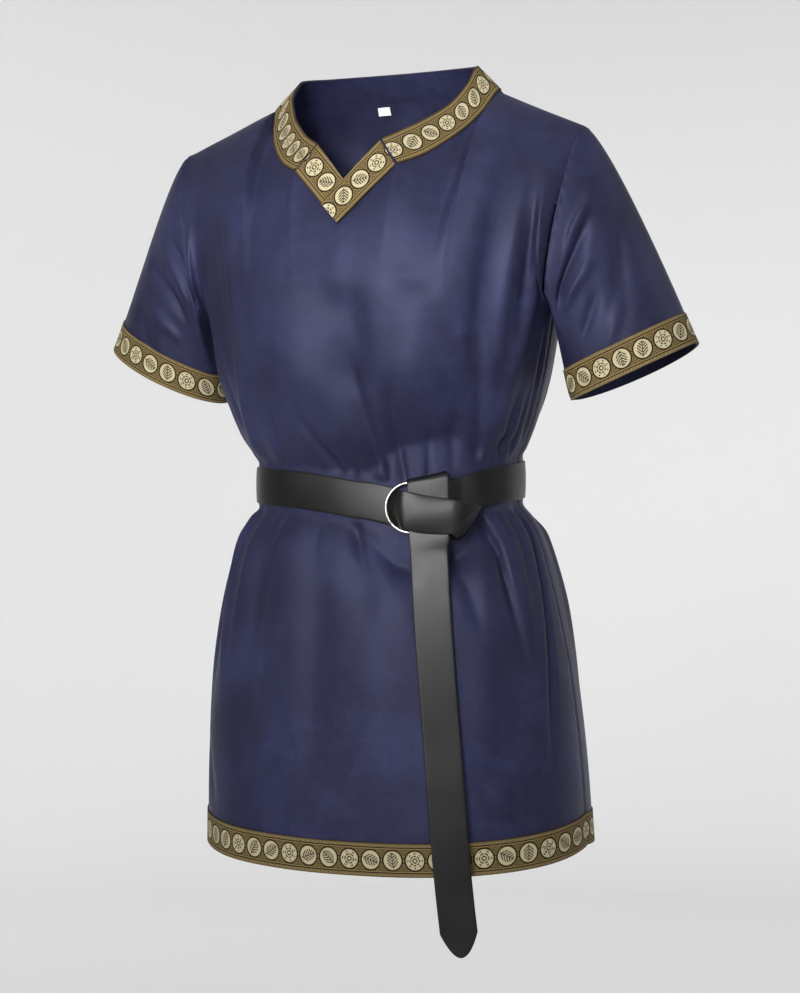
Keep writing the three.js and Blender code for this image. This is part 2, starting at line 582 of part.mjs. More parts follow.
// The waist under the belt: points of the cloth's outside at equal turns, their distance along the
// waist from the ring, and the way out.
const WAIST = steps(-180, 180, 720).map((round) => {
  const side = Math.abs(round) <= 90 ? -1 : 1;
  const turn = side < 0 ? round : (round < 0 ? -180 : 180) - round;
  const point = lowerPoint(side, turn, BELT_LEVEL);
  return { round, x: point.x, y: point.y - side * SEAM, z: point.z };
});
WAIST.forEach((stop, i) => {
  const before = WAIST[Math.max(i - 1, 0)];
  const after = WAIST[Math.min(i + 1, WAIST.length - 1)];
  const run = Math.hypot(after.x - before.x, after.y - before.y);
  stop.outX = (after.y - before.y) / run;
  stop.outY = -(after.x - before.x) / run;
  stop.along = i ? before.along + Math.hypot(stop.x - before.x, stop.y - before.y) : 0;
});
const RING_ALONG = read(WAIST, "round", "along", RING.turn);
WAIST.forEach((stop) => {
  stop.along -= RING_ALONG;
});
const WAIST_LENGTH = WAIST[WAIST.length - 1].along - WAIST[0].along;

// Where the panels' columns cross the waist, on the way round from the ring.
const WAIST_STOPS = [...TURNS, ...TURNS.slice(1, -1).map((turn) => 180 - turn)]
  .map((round) => read(WAIST, "round", "along", round > 180 ? round - 360 : round))
  .map((along) => (along < 0 ? along + WAIST_LENGTH : along))
  .sort((a, b) => a - b);

// A place on the belt: across from the ring's centre along the waist, at a height, and out from the
// cloth, with the height of the belt's middle line there.
function beltPlace(across, height, out) {
  const low = WAIST[0].along;
  const at = low + ((((across - low) % WAIST_LENGTH) + WAIST_LENGTH) % WAIST_LENGTH);
  let i = clamp(Math.floor(((at - low) / WAIST_LENGTH) * WAIST.length), 0, WAIST.length - 2);
  while (i > 0 && WAIST[i].along > at) i--;
  while (i < WAIST.length - 2 && WAIST[i + 1].along < at) i++;
  const t = (at - WAIST[i].along) / (WAIST[i + 1].along - WAIST[i].along);
  const value = (column) => mix(WAIST[i][column], WAIST[i + 1][column], t);
  const lift = CLOTH / 2 + out;
  return {
    point: new THREE.Vector3(value("x") + lift * value("outX"), value("y") + lift * value("outY"), height),
    lineZ: value("z"),
  };
}

// The ring's plane: its middle, the way out of it and the way across it.
const ringMiddle = beltPlace(0, RING.z, RING.out).point;
const ringOut = ringMiddle.clone().sub(beltPlace(0, RING.z, 0).point).normalize();
ringOut.applyAxisAngle(new THREE.Vector3(0, 0, 1), -rad(RING.tilt));
const ringAcross = new THREE.Vector3(-ringOut.y, ringOut.x, 0);
function ringPlace(across, up, depth) {
  const point = ringMiddle.clone().addScaledVector(ringAcross, across).addScaledVector(ringOut, depth);
  return point.setZ(RING.z + up);
}
// How far the ring's plane stands out from the cloth.
function planeOut(across) {
  const base = beltPlace(across, RING.z, 0).point;
  const out = beltPlace(across, RING.z, 1).point.sub(base);
  return ringMiddle.clone().sub(base).dot(ringOut) / out.dot(ringOut);
}

// A strap cut across at one place: its middle, the slope of the cut in degrees and half its length.
// out: distance from the cloth, or a rule that gives it. depth: distance from the ring's plane, in
// place of out. shift: moves each point of the cut across and up.
const STRAP_POINTS = [-1, -0.5, 0, 0.5, 1];
function strapCut({ across, up, slope = 90, half = STRAP_WIDE / 2, out, depth, shift = () => [0, 0] }) {
  return STRAP_POINTS.map((w) => {
    const a = across + w * half * Math.cos(rad(slope));
    const u = up + w * half * Math.sin(rad(slope));
    const [sideways, upwards] = shift(a, u);
    if (depth !== undefined) return ringPlace(a + sideways, u + upwards, depth);
    const distance = typeof out === "function" ? out(a, u) : out;
    return beltPlace(a + sideways, RING.z + u + upwards, distance).point;
  });
}
const lineUp = (across) => beltPlace(across, 0, 0).lineZ - RING.z;

// How far across the ring's wire is, at a height the strap can reach inside it.
const arcAt = (u) => Math.sqrt(RING.radius ** 2 - Math.min(Math.abs(u), RING.radius - 3) ** 2);

// The strap comes from under the ring's left side and is up through it by RISEN.
const RISEN = -5.4;
function throughRing(across, u) {
  const from = -arcAt(u) + RING.wire + 3 * SEAM;
  return mix(STRAP_OUT, planeOut(across) + WRAP_DEPTH, ease((across - from) / (RISEN - from)));
}

// Out from the ring's eye the strap comes down onto the strap behind it, and then onto the cloth.
const AFTER_EYE = { reach: 44, behindTo: 66, down: 28 };
function afterEye(across) {
  const high = planeOut(RING.radius) + EYE - STRAP_OUT;
  const taut = STRAP_OUT + high * Math.max(0, 1 - (across - RING.radius) / AFTER_EYE.reach) ** 2;
  const passed = ease((across - AFTER_EYE.behindTo) / AFTER_EYE.down);
  return Math.max(taut, STRAP_OUT + NEXT_LAYER * (1 - passed));
}

// The wrap lies over the hanging end as far as TAIL_SIDE and then comes down to the lower fold.
const TAIL_SIDE = 42;
const WRAP_DOWN = 30;
function wrapOut(across) {
  if (across < TAIL_SIDE) return planeOut(across) + WRAP_DEPTH;
  return mix(planeOut(TAIL_SIDE) + WRAP_DEPTH, LOW_FOLD.out, ease((across - TAIL_SIDE) / WRAP_DOWN));
}

const along = (degrees, distance) => [distance * Math.cos(rad(degrees)), distance * Math.sin(rad(degrees))];

// The cuts of a strap turning over at a fold, towards the side the fold's slope plus turn gives.
// from: -1 from the front to the back, 1 from the back to the front.
function foldCuts(fold, frontOut, turn, from) {
  const bend = (a) => (frontOut(a) - STRAP_OUT) / 2;
  return steps(20, 180, 8).map((angle) =>
    strapCut({
      ...fold,
      out: (a) => STRAP_OUT + bend(a) * (1 - from * Math.cos(rad(angle))),
      shift: (a) => along(fold.slope + turn, bend(a) * Math.sin(rad(angle))),
    }),
  );
}

// The strap behind the belt, between the two folds.
const behind = (share) => ({
  across: mix(LOW_FOLD.across, HIGH_FOLD.across, share),
  up: mix(LOW_FOLD.up, HIGH_FOLD.up, share),
  slope: mix(LOW_FOLD.slope, HIGH_FOLD.slope, share),
  half: mix(LOW_FOLD.half, HIGH_FOLD.half, share),
  out: STRAP_OUT,
});

// Where the strap is cut, across from the ring's centre: out of the eye, plain round the body, and
// through the ring. The eye is a little narrower than the strap.
const EYE_STOPS = [30, 36, 43, 51, 60, 72, 84, 97, 109];
const EYE_NARROW = 1.3;

// The strap's end behind the ring: how much it follows the belt's line and the ring's arc.
const EYE_END = [
  { across: 35, level: 0.5, arc: 0.3, sunk: SEAM },
  { across: 30, level: 0, arc: 0.7, sunk: 0 },
];

// Where the strap has left the ring's arc and reached the belt's line, and where it joins the wrap.
const EYE_LEAVES = { line: 20, lineOver: 20, arc: 40, arcOver: 14 };
const JOIN = { from: -62, over: 30 };
const WRAP_SHARES = steps(0.15, 1, 6);
const HIDDEN_SHARES = [0.2, 0.4];
const WRAP_UP = -3.6;
const PLAIN = { from: 118, to: -54 };
const RING_STOPS = [-48, -38, -30, -25, -22, -19, -16, -13, -10, -7, -4, -1, 5, 13];
const WRAP_START = RING_STOPS[RING_STOPS.length - 1];
const wrapUp = (across) => WRAP_UP - across * Math.tan(rad(WRAP_SLOPE));

// The round part: from the eye on the ring's right side, round the body, up through the ring and
// over the front to the lower fold, ending behind the belt.
function beltRound() {
  const onArc = (share) => (a, u) => [share * (arcAt(u) - RING.radius), 0];
  const back = planeOut(RING.radius) - EYE;
  const cuts = EYE_END.map(({ across, level, arc, sunk }) =>
    strapCut({ across, up: level * lineUp(across), out: back - sunk, shift: onArc(arc) }),
  );
  for (const angle of steps(-90, -270, 6)) {
    const [aside, depth] = along(angle, EYE);
    const half = STRAP_WIDE / 2 - EYE_NARROW;
    cuts.push(strapCut({ across: RING.radius + aside, up: 0, half, depth, shift: onArc(1) }));
  }
  for (const across of EYE_STOPS) {
    const up = lineUp(across) * ease((across - EYE_LEAVES.line) / EYE_LEAVES.lineOver);
    const arc = Math.max(0, (EYE_LEAVES.arc - across) / EYE_LEAVES.arcOver);
    cuts.push(strapCut({ across, up, out: afterEye, shift: onArc(arc) }));
  }
  for (const across of WAIST_STOPS.filter((stop) => stop > PLAIN.from && stop < WAIST_LENGTH + PLAIN.to)) {
    cuts.push(strapCut({ across, up: lineUp(across), out: STRAP_OUT }));
  }
  for (const across of RING_STOPS) {
    const join = ease((across - JOIN.from) / JOIN.over);
    const up = mix(lineUp(across), wrapUp(across), join);
    const slope = mix(90, 90 - WRAP_SLOPE, join);
    cuts.push(strapCut({ across, up, slope, out: across < 0 ? throughRing : wrapOut }));
  }
  for (const share of WRAP_SHARES) {
    const across = mix(WRAP_START, LOW_FOLD.across, share);
    const up = mix(wrapUp(WRAP_START), LOW_FOLD.up, share);
    const slope = mix(90 - WRAP_SLOPE, LOW_FOLD.slope, share);
    const half = mix(STRAP_WIDE / 2, LOW_FOLD.half, share);
    cuts.push(strapCut({ across, up, slope, half, out: wrapOut }));
  }
  cuts.push(...foldCuts(LOW_FOLD, wrapOut, -90, -1), ...HIDDEN_SHARES.map((share) => strapCut(behind(share))));
  return wall(turned(cuts), STRAP);
}

// Cuts as rows become columns, so that a strap's faces point out.
const turned = (cuts) => cuts[0].map((_, w) => cuts.map((cut) => cut[w]));

// The columns of cloth that may lie behind the hanging end, and how far beside it they still count.
const BEHIND_TAIL = { turns: steps(0, 75, 50), aside: 4 };

// How far the cloth and the hem's ribbon stand out behind the hanging end at a height.
function skirtReach(middle, sideways, out, height) {
  let most = 0;
  for (const turn of BEHIND_TAIL.turns) {
    const dip = lowerPoint(-1, turn, height).z - height;
    const level = clamp(height - dip, HEM, BELT_LEVEL);
    const away = clothPoint(-1, turn, level).point.sub(middle);
    if (Math.abs(away.dot(sideways)) > STRAP_WIDE / 2 + BEHIND_TAIL.aside) continue;
    most = Math.max(most, away.dot(out));
  }
  return most;
}

// The hanging end: behind the belt, over its top edge, down under the wrap and past the hem.
const UNDER_WRAP = [
  { across: 17.1, up: 14, slope: 6 },
  { across: 17.2, up: 0, slope: 2 },
  { across: 17.3, up: -16, slope: -3 },
  { across: 17.6, up: -31, slope: -6 },
];
const TIP = TAIL[0].z;
const HANG_STOPS = [...steps(-470, -770, 12), -800, -830, TIP + TAIL_POINT, TIP + 14, TIP + 6, TIP];
function beltTail() {
  const tailOut = (a) => planeOut(a) + TAIL_DEPTH;
  const cuts = [
    ...[0.41, 0.6, 0.8, 1].map((share) => strapCut(behind(share))),
    ...foldCuts(HIGH_FOLD, tailOut, 90, 1),
    ...UNDER_WRAP.map((cut) => strapCut({ ...cut, out: tailOut })),
  ];
  const lastCut = cuts[cuts.length - 1];
  const knot = lastCut[2];
  const sideways = lastCut[4].clone().sub(lastCut[0]).setZ(0).normalize();
  const out = new THREE.Vector3(sideways.y, -sideways.x, 0);
  const clear = CLOTH / 2 + SEAM + STRAP / 2;
  const lean = (TAIL[1].x - TAIL[0].x) / (TAIL[1].z - TAIL[0].z);
  for (const z of HANG_STOPS) {
    const x = read(TAIL, "z", "x", z);
    const middle = new THREE.Vector3(x, knot.y + ((x - knot.x) * sideways.y) / sideways.x, z);
    const overRibbon = z < HEM + RIBBON_WIDE + 25 ? RIBBON + SEAM : 0;
    const reach = skirtReach(middle, sideways, out, Math.max(z, HEM - 14));
    middle.addScaledVector(out, reach + clear + overRibbon);
    const half = (STRAP_WIDE / 2) * Math.sqrt(clamp((z - TIP) / TAIL_POINT, 0.004, 1));
    cuts.push(
      STRAP_POINTS.map((w) => {
        const point = middle.clone().addScaledVector(sideways, w * half);
        return point.setZ(z - w * half * lean);
      }),
    );
  }
  return wall(turned(cuts), STRAP);
}
piece("belt_round", beltRound(), BLACK);
piece("belt_tail", beltTail(), BLACK);

const ring = piece("belt_ring", new THREE.TorusGeometry(RING.radius, RING.wire, 8, 36), NICKEL);
ring.position.copy(ringMiddle);
ring.rotation.set(Math.PI / 2, 0, Math.atan2(ringOut.x, -ringOut.y), "ZYX");

export default tunic;
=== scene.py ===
"""A navy satin tunic with woven ribbon at the neck, cuffs and hem, and a leather strap belt knotted
through a ring. Shapes are worked out in millimetres: +Z up, the front faces -Y, +X is the wearer's left."""

import bpy
import numpy as np
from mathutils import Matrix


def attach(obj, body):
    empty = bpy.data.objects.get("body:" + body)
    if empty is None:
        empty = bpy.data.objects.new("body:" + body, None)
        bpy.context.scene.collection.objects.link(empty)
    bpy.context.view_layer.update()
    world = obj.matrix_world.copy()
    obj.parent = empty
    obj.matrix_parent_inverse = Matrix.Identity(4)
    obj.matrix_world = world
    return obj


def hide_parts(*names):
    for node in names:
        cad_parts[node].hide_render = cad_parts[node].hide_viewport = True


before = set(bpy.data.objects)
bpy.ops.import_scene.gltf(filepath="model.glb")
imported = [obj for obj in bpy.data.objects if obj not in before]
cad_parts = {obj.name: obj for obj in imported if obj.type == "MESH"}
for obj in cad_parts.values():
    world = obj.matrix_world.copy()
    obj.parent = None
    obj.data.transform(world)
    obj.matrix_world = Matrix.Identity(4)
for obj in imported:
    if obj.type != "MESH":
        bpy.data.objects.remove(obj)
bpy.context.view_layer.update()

MM = 0.001
CLOTH, RIBBON, STRAP, SEAM = 1.2, 1.0, 1.8, 0.3
ON_CLOTH = CLOTH / 2 + SEAM + RIBBON / 2
RIBBON_WIDE, STRAP_WIDE = 32, 37
SHOULDER_HALF, NECK_SIDE = 218, 125
UNDERARM, YOKE_RISE = -237, 200
TOP = UNDERARM + YOKE_RISE
BELT_LEVEL, HEM, HEM_DIP = -404, -769, -23
ROUNDNESS = 2.3
FRONT, BACK = -1, 1

# Cross sections of the body: level, half width, where the side seam, the front and the back lie in Y,
# and the shares of the belt's and the hem's dip.
SECTIONS = np.array([
    (-769, 205, 49, -84, 179, 0, 1),
    (-700, 202.5, 44, -86, 173, 0.1, 0.8),
    (-600, 194, 34, -86, 160, 0.3, 0.5),
    (-540, 184, 28, -85, 149, 0.5, 0.3),
    (-490, 172, 25, -81, 137, 0.75, 0.1),
    (-458, 161, 26, -76, 128, 0.92, 0),
    (-440, 148.5, 28, -70.5, 124, 1, 0),
    (-427, 139.5, 27, -66, 120, 1, 0),
    (-404, 139.5, 27, -66, 120, 1, 0),
    (-381, 139.5, 27, -66, 120, 1, 0),
    (-370, 145.5, 26, -72, 122, 0.97, 0),
    (-350, 154.5, 23, -83, 124, 0.85, 0),
    (-325, 163.5, 19, -93, 125, 0.65, 0),
    (-289, 174, 13, -104, 125, 0.35, 0),
    (-237, 184, 8, -110, 122, 0, 0),
])
HALF, SIDE, FRONT_Y, BACK_Y, BELT_SHARE, HEM_SHARE = range(1, 7)
# The belt's middle line: degrees round from the front centre, and height above BELT_LEVEL.
BELT_LINE = [
    (-180, 14), (-100, 2), (-27, -7), (-8, -13), (12, -24), (22, -26), (40, -17), (60, -6), (90, 1),
    (180, 14),
]
# How far from upright the cloth arrives at the neck and shoulder seams, by distance from the middle.
FRONT_LEAN = [(0, 18), (55, 24), (75, 35), (107, 42), (125, 70), (165, 80), (218, 84)]
BACK_LEAN = [(0, 29), (62, 32), (106, 44), (125, 70), (165, 80), (218, 84)]
SHOULDER_SEAM = np.array([(125, 18, -10), (165, 13.5, -29), (218, 6, -53)])
# The neck band from the point of the V to the centre back: its free edge, then its seam.
NECK = np.array([
    (0, -89, -107, 0, -104, -152),
    (34, -77, -67, 55, -86.4, -94),
    (50, -64, -57, 75, -70, -85),
    (67, -44, -44, 92, -52, -72),
    (87, -18, -23, 108, -28, -53),
    (97, 2, 2, 118, -6, -33),
    (97, 21, 18, 125, 18, -10),
    (82, 55, 26, 106, 62, -3),
    (48, 74, 30, 62, 90, 2),
    (0, 80, 31, 0, 97, 4),
])
NECK_SHOULDER, NECK_BACK = 6, 9
NECK_COLUMNS = [0, 28, 55, 73, 89, 104, 116, 125]
# How far each panel is set back along the armhole, and how that grows and fades up it. At the side
# seam it is eased in over the share near of the rise, and from turn degrees away over all of it.
ARMHOLE = {FRONT: 0.22, BACK: 0.2, "grow": 0.4, "fade": 1.3, "most": 0.393, "near": 0.1, "turn": 45}
# The share of the arriving tangent that is left at the shoulder's tip.
TIP_TANGENT = 0.35
# The cuffs by hand, 1 the wearer's left: centre, half width, half depth, slope, extra drop in front.
CUFFS = {
    1: (np.array([260, 36, -294.5]), 67.6, 51, 23, 9),
    -1: (np.array([260, 36, -283]), 72.5, 52, 26.5, 9),
}
HOLD = dict(turn=31, wide=24, above=0, fade_above=130, below=36, fade_below=70, troughs=0.45)

# Folds of the body: turn and level where each starts and ends, half width, depth (a ridge is
# negative), the shares of its length over which it rises and fades, and its lean to one side.
MM_PER_DEGREE = 2.9
FRONT_FOLDS = [
    (0, -160, 5, -320, 17, 6, 0.5, 0.2, 0.3),
    (-2, -250, 11, -385, 10, 7.5, 0.45, 0.06, 0.4),
    (-17, -185, -14, -385, 24, -4.5, 0.5, 0.2, 0),
    (20, -190, 24, -385, 26, -5, 0.4, 0.2, 0),
    (10, -182, 34, -226, 12, 2.4, 0.5, 0.5, 0),
    (47, -105, 46, -330, 15, 5.5, 0.45, 0.4, -0.3),
    (46, -250, 57, -380, 8, 6.5, 0.5, 0.15, 0.2),
    (57, -120, 56, -320, 9, -3, 0.4, 0.5, 0),
    (66, -130, 67, -300, 10, 4, 0.4, 0.5, 0),
    (46, -262, 60, -384, 5, -2.4, 0.5, 0.1, 0.3),
    (76, -160, 62, -360, 12, -4, 0.4, 0.4, 0),
    (72, -300, 70, -382, 6, 3, 0.5, 0.1, 0),
    (80, -290, 78, -382, 5, 2.6, 0.5, 0.1, 0),
    (84, -230, 86, -370, 6, 3, 0.5, 0.2, 0),
    (55, -366, 82, -364, 8, 4.5, 0.3, 0.3, 0),
    (-40, -140, -36, -310, 8, -3.4, 0.5, 0.4, -0.4),
    (-37, -250, -54, -380, 8, -3.6, 0.4, 0.15, -0.4),
    (-50, -150, -46, -330, 11, 4, 0.5, 0.4, 0.2),
    (-64, -175, -58, -366, 12, 5, 0.5, 0.2, 0),
    (-72, -230, -70, -380, 9, -3, 0.5, 0.2, 0),
    (-27, -325, -33, -386, 4.5, 3.4, 0.5, 0.06, 0),
    (-18, -318, -2, -387, 5, 4, 0.5, 0.06, 0.3),
    (-1, -332, 0, -387, 4, 5, 0.6, 0.05, 0),
    (13, -290, 20, -386, 6.5, 6, 0.5, 0.08, 0.3),
    (29, -325, 30, -386, 5, 4.5, 0.6, 0.1, 0),
    (40, -300, 42, -384, 8, 3, 0.6, 0.1, 0),
    (22, -80, 38, -190, 12, 1.8, 0.4, 0.4, 0),
    (0, -424, 5, -484, 5, 5, 0.1, 0.7, 0),
    (9, -424, 14, -520, 8, -1.8, 0.1, 0.7, 0),
    (2, -430, 6, -560, 12, 3, 0.1, 0.7, 0),
    (-12, -424, -10, -500, 7, 1.6, 0.1, 0.7, 0.3),
    (-20, -424, -26, -620, 18, -2, 0.1, 0.7, 0),
    (-29, -424, -31, -530, 6, 1.8, 0.1, 0.7, 0),
    (-34, -440, -35, -720, 15, 4.5, 0.2, 0.4, 0),
    (-45, -424, -46, -600, 10, -2.4, 0.1, 0.7, -0.5),
    (-54, -424, -54, -530, 6, 2, 0.1, 0.7, 0),
    (-60, -424, -52, -640, 7, -3, 0.08, 0.6, -0.5),
    (-71, -424, -62, -640, 12, 9, 0.08, 0.6, 0),
    (-8, -450, -8, -720, 15, 3.6, 0.3, 0.4, 0),
    (4, -500, 10, -730, 18, -2.6, 0.4, 0.4, 0),
    (20, -470, 28, -600, 12, 2.6, 0.3, 0.5, 0),
    (38, -440, 44, -560, 9, 5, 0.2, 0.6, 0),
    (48, -424, 50, -540, 8, -2.4, 0.1, 0.6, 0),
    (57, -424, 62, -610, 7, 7, 0.08, 0.7, 0.3),
    (45, -500, 40, -700, 16, -3, 0.4, 0.4, 0),
    (67, -424, 66, -590, 7, -2, 0.1, 0.6, 0),
    (75, -424, 72, -540, 6, 3, 0.08, 0.6, 0),
    (80, -424, 73, -640, 6, -1.6, 0.08, 0.6, 0.3),
    (87, -424, 67, -700, 6, 7, 0.08, 0.5, 0),
    (46, -690, 64, -738, 8, 3.4, 0.4, 0.4, 0),
    (38, -680, 52, -726, 8, -2.4, 0.4, 0.4, 0),
    (-70, -650, -52, -735, 10, 2.4, 0.4, 0.4, 0),
]
BACK_FOLDS = [
    (4, -130, -6, -378, 17, 6, 0.5, 0.15, 0.2),
    (52, -140, 36, -376, 14, 6.5, 0.4, 0.2, 0),
    (44, -130, 30, -370, 9, -3.4, 0.4, 0.2, 0),
    (-50, -120, -38, -376, 14, 6.5, 0.4, 0.2, 0),
    (-42, -130, -30, -350, 8, -3.2, 0.4, 0.2, 0),
    (66, -170, 60, -370, 12, -5, 0.4, 0.3, 0.3),
    (-68, -170, -62, -370, 12, -5, 0.4, 0.3, 0.3),
    (18, -290, 14, -382, 6, 3, 0.6, 0.1, 0),
    (-20, -310, -16, -382, 5, 3, 0.6, 0.1, 0),
    (-4, -330, -9, -382, 5, 2.6, 0.6, 0.1, 0),
    (30, -60, 12, -120, 12, 2, 0.4, 0.4, 0),
    (-28, -60, -12, -115, 12, 2, 0.4, 0.4, 0),
    (10, -430, 14, -620, 15, 6, 0.12, 0.7, 0),
    (-34, -430, -42, -660, 15, 6.5, 0.12, 0.7, 0.2),
    (44, -430, 52, -680, 15, 6.5, 0.12, 0.7, -0.2),
    (-10, -430, -14, -580, 10, -4, 0.12, 0.7, 0),
    (28, -430, 33, -640, 9, -4, 0.12, 0.7, 0.3),
    (72, -436, 76, -620, 12, -5, 0.15, 0.6, 0),
    (-60, -432, -66, -640, 9, -4.5, 0.15, 0.6, 0),
    (-78, -440, -80, -600, 10, 4, 0.15, 0.6, 0),
    (0, -620, -6, -735, 16, 3, 0.4, 0.4, 0),
    (60, -690, 46, -738, 9, 2.6, 0.4, 0.4, 0),
]
FOLDS = {FRONT: FRONT_FOLDS, BACK: BACK_FOLDS}
# Gathers beside the belt: waves round the body, their height, uneven by slow swells, and finer ones.
# They and the folds start a little nearer the belt's middle line than clear, and grow over a short way.
GATHERS = dict(waves=11, high=1.3, clear=22, reach=60, phase=1.3, uneven=0.3, swells=5, inside=6, over=12)
FINE_GATHERS = dict(waves=29, high=0.35, reach=30, over=8)
FOLDS_START = dict(inside=4, over=14)
RIPPLE_HIGH = {"body": 0.45, "sleeve": 0.35}
# The side seams: a groove and its puckers, both by degrees from the seam; folds end before the edges.
SIDE_SEAM = dict(deep=0.9, half=0.7, pucker=0.3, reach=2.6, beat=0.45)
FLAT_EDGE = dict(turn=6, level=20)

# Folds of the sleeves: degrees round from the underarm by the front and share of the way to the
# cuff where it starts and ends, half width, depth, rise, fade and lean.
MM_PER_TURN, MM_PER_SHARE = 1.15, 235
LEFT_SLEEVE_FOLDS = [
    (122, 0.34, 36, 0.3, 9, 5.5, 0.4, 0.2, 0.2),
    (140, 0.3, 70, 0.22, 8, -3, 0.4, 0.3, 0),
    (112, 0.46, 48, 0.42, 9, -3.4, 0.4, 0.3, 0),
    (148, 0.4, 96, 0.82, 12, 4.5, 0.4, 0.5, 0),
    (100, 0.55, 60, 0.7, 9, 3.4, 0.4, 0.5, 0),
    (126, 0.6, 80, 0.86, 8, -2.4, 0.4, 0.4, 0),
    (318, 0.28, 250, 0.4, 10, 5, 0.2, 0.5, 0),
    (300, 0.5, 240, 0.7, 10, 4, 0.3, 0.5, 0),
    (310, 0.42, 262, 0.52, 8, -3, 0.3, 0.4, 0),
    (215, 0.3, 236, 0.85, 12, 3.4, 0.4, 0.4, 0),
]
RIGHT_SLEEVE_FOLDS = [
    (116, 0.3, 24, 0.04, 8, 5, 0.4, 0.15, -0.2),
    (132, 0.4, 40, 0.22, 8, -3.4, 0.4, 0.2, 0),
    (136, 0.52, 48, 0.42, 9, 4.5, 0.4, 0.3, 0),
    (118, 0.66, 60, 0.62, 8, -3, 0.4, 0.3, 0),
    (130, 0.66, 90, 0.86, 10, 3.6, 0.4, 0.5, 0),
    (322, 0.2, 252, 0.36, 10, 5, 0.2, 0.5, 0),
    (302, 0.44, 244, 0.66, 10, 4, 0.3, 0.5, 0),
    (312, 0.36, 262, 0.5, 8, -3, 0.3, 0.4, 0),
    (218, 0.3, 232, 0.85, 12, 3.4, 0.4, 0.4, 0),
]
SLEEVE_FOLDS = {1: LEFT_SLEEVE_FOLDS, -1: RIGHT_SLEEVE_FOLDS}

# The belt: the ring, the layers of its knot, its folds and its hanging end.
RING = dict(turn=22, z=-430, radius=24.5, wire=1.4, out=5.6, tilt=1.3)
STRAP_OUT = SEAM + STRAP / 2 + 0.1
NEXT_LAYER = STRAP + SEAM
EYE = RING["wire"] + 3.6 * SEAM + STRAP / 2
TAIL_DEPTH = EYE + NEXT_LAYER
WRAP_DEPTH = TAIL_DEPTH + NEXT_LAYER
LOW_FOLD = dict(across=50.6, up=-11.5, slope=47, half=19.8)
LOW_FOLD_OUT = 6.5
HIGH_FOLD = dict(across=16.5, up=25.4, slope=9, half=18.9)
WRAP_SLOPE, WRAP_UP = 13.8, -3.6
# The hanging end's middle line, by level and distance from the middle, and the length of its point.
TAIL = [(-867, 114.5), (-800, 107), (-700, 99), (-560, 88), (-462, 81)]
TAIL_POINT = 24
TIP = TAIL[0][0]
TAB = dict(x=-35, wide=13.5, high=6, thick=1, tape=0.7, below=1.5, stretch=1.25, free=0.8)


def ease(v):
    """From 0 to 1 along an S curve."""
    t = np.clip(v, 0, 1)
    return t * t * (3 - 2 * t)


def mix(a, b, t):
    """The value a share t of the way from a to b."""
    return a + (b - a) * t


def read(table, at):
    """A table's value between its rows: a cubic whose tangents are the harmonic means of the slopes."""
    keys, values = np.array(table, float).T
    spans = np.diff(keys)
    slopes = np.diff(values) / spans
    before, after = slopes[:-1], slopes[1:]
    same = before * after > 0
    inner = np.where(same, 2 * before * after / np.where(same, before + after, 1), 0)
    tangents = np.concatenate([slopes[:1], inner, slopes[-1:]])
    at = np.clip(at, keys[0], keys[-1])
    i = np.clip(np.searchsorted(keys, at, side="right") - 1, 0, len(spans) - 1)
    t = (at - keys[i]) / spans[i]
    return (values[i] * (1 + 2 * t) * (1 - t) ** 2 + values[i + 1] * t * t * (3 - 2 * t)
            + tangents[i] * spans[i] * t * (1 - t) ** 2 - tangents[i + 1] * spans[i] * t * t * (1 - t))


def section(column, level):
    """A column of SECTIONS at a level."""
    return read(SECTIONS[:, [0, column]], level)


def point(x, y, z):
    """Points from their three coordinates."""
    return np.stack(np.broadcast_arrays(x, y, z), axis=-1).astype(float)


def unit(v):
    """Vectors of length 1."""
    return v / np.linalg.norm(v, axis=-1, keepdims=True)


def outward(turn):
    """Share of the way from the side seam to the front or back, round a superellipse."""
    return np.maximum(0, np.cos(np.radians(turn))) ** (2 / ROUNDNESS)


def hold_at(side, turn, level):
    """How tightly the knot holds the cloth in: a flat-topped bell round the knot."""
    if side == BACK:
        return np.zeros(np.broadcast(turn, level).shape)
    over = (level - BELT_LEVEL - HOLD["above"]) / HOLD["fade_above"]
    under = (BELT_LEVEL - level - HOLD["below"]) / HOLD["fade_below"]
    away = np.where(level > BELT_LEVEL, over, under)
    return np.exp(-(((turn - HOLD["turn"]) / HOLD["wide"]) ** 4)) * (1 - ease(away))


def lower(side, turn, level):
    """Cloth below the underarm: a superellipse at each level, sagging with the belt and the hem."""
    across = np.sign(turn) * np.abs(np.sin(np.radians(turn))) ** (2 / ROUNDNESS)
    out = outward(turn)
    tight = level - (level - BELT_LEVEL) * hold_at(side, turn, level)
    reach = section(FRONT_Y if side == FRONT else BACK_Y, tight)
    around = turn if side == FRONT else np.where(turn < 0, -180, 180) - turn
    belt = section(BELT_SHARE, level) * read(BELT_LINE, around)
    hem = section(HEM_SHARE, level) * (HEM_DIP * out if side == FRONT else 0)
    y = mix(section(SIDE, tight), reach, out) + side * SEAM
    return point(section(HALF, tight) * across, y, level + belt + hem)


def neck_point(place, share):
    """The neck band: a straight line from its seam to its free edge at each place along NECK."""
    at = np.abs(place)
    rows = np.arange(len(NECK))

    def value(axis):
        ends = []
        for column in (axis + 3, axis):
            slit = mix(NECK[0, column], NECK[1, column], np.clip(at, 0, 1))
            ends.append(np.where(at <= 1, slit, read(np.stack([rows, NECK[:, column]], axis=1)[1:], at)))
        return mix(ends[0], ends[1], share)

    return point(np.sign(place) * value(0), value(1), value(2))


def neck_place(side, x):
    """The place on the neck seam at a distance from the middle."""
    places = np.linspace(0 if side == FRONT else NECK_BACK, NECK_SHOULDER, 4001)
    return np.interp(x, neck_point(places, 0)[:, 0], places)


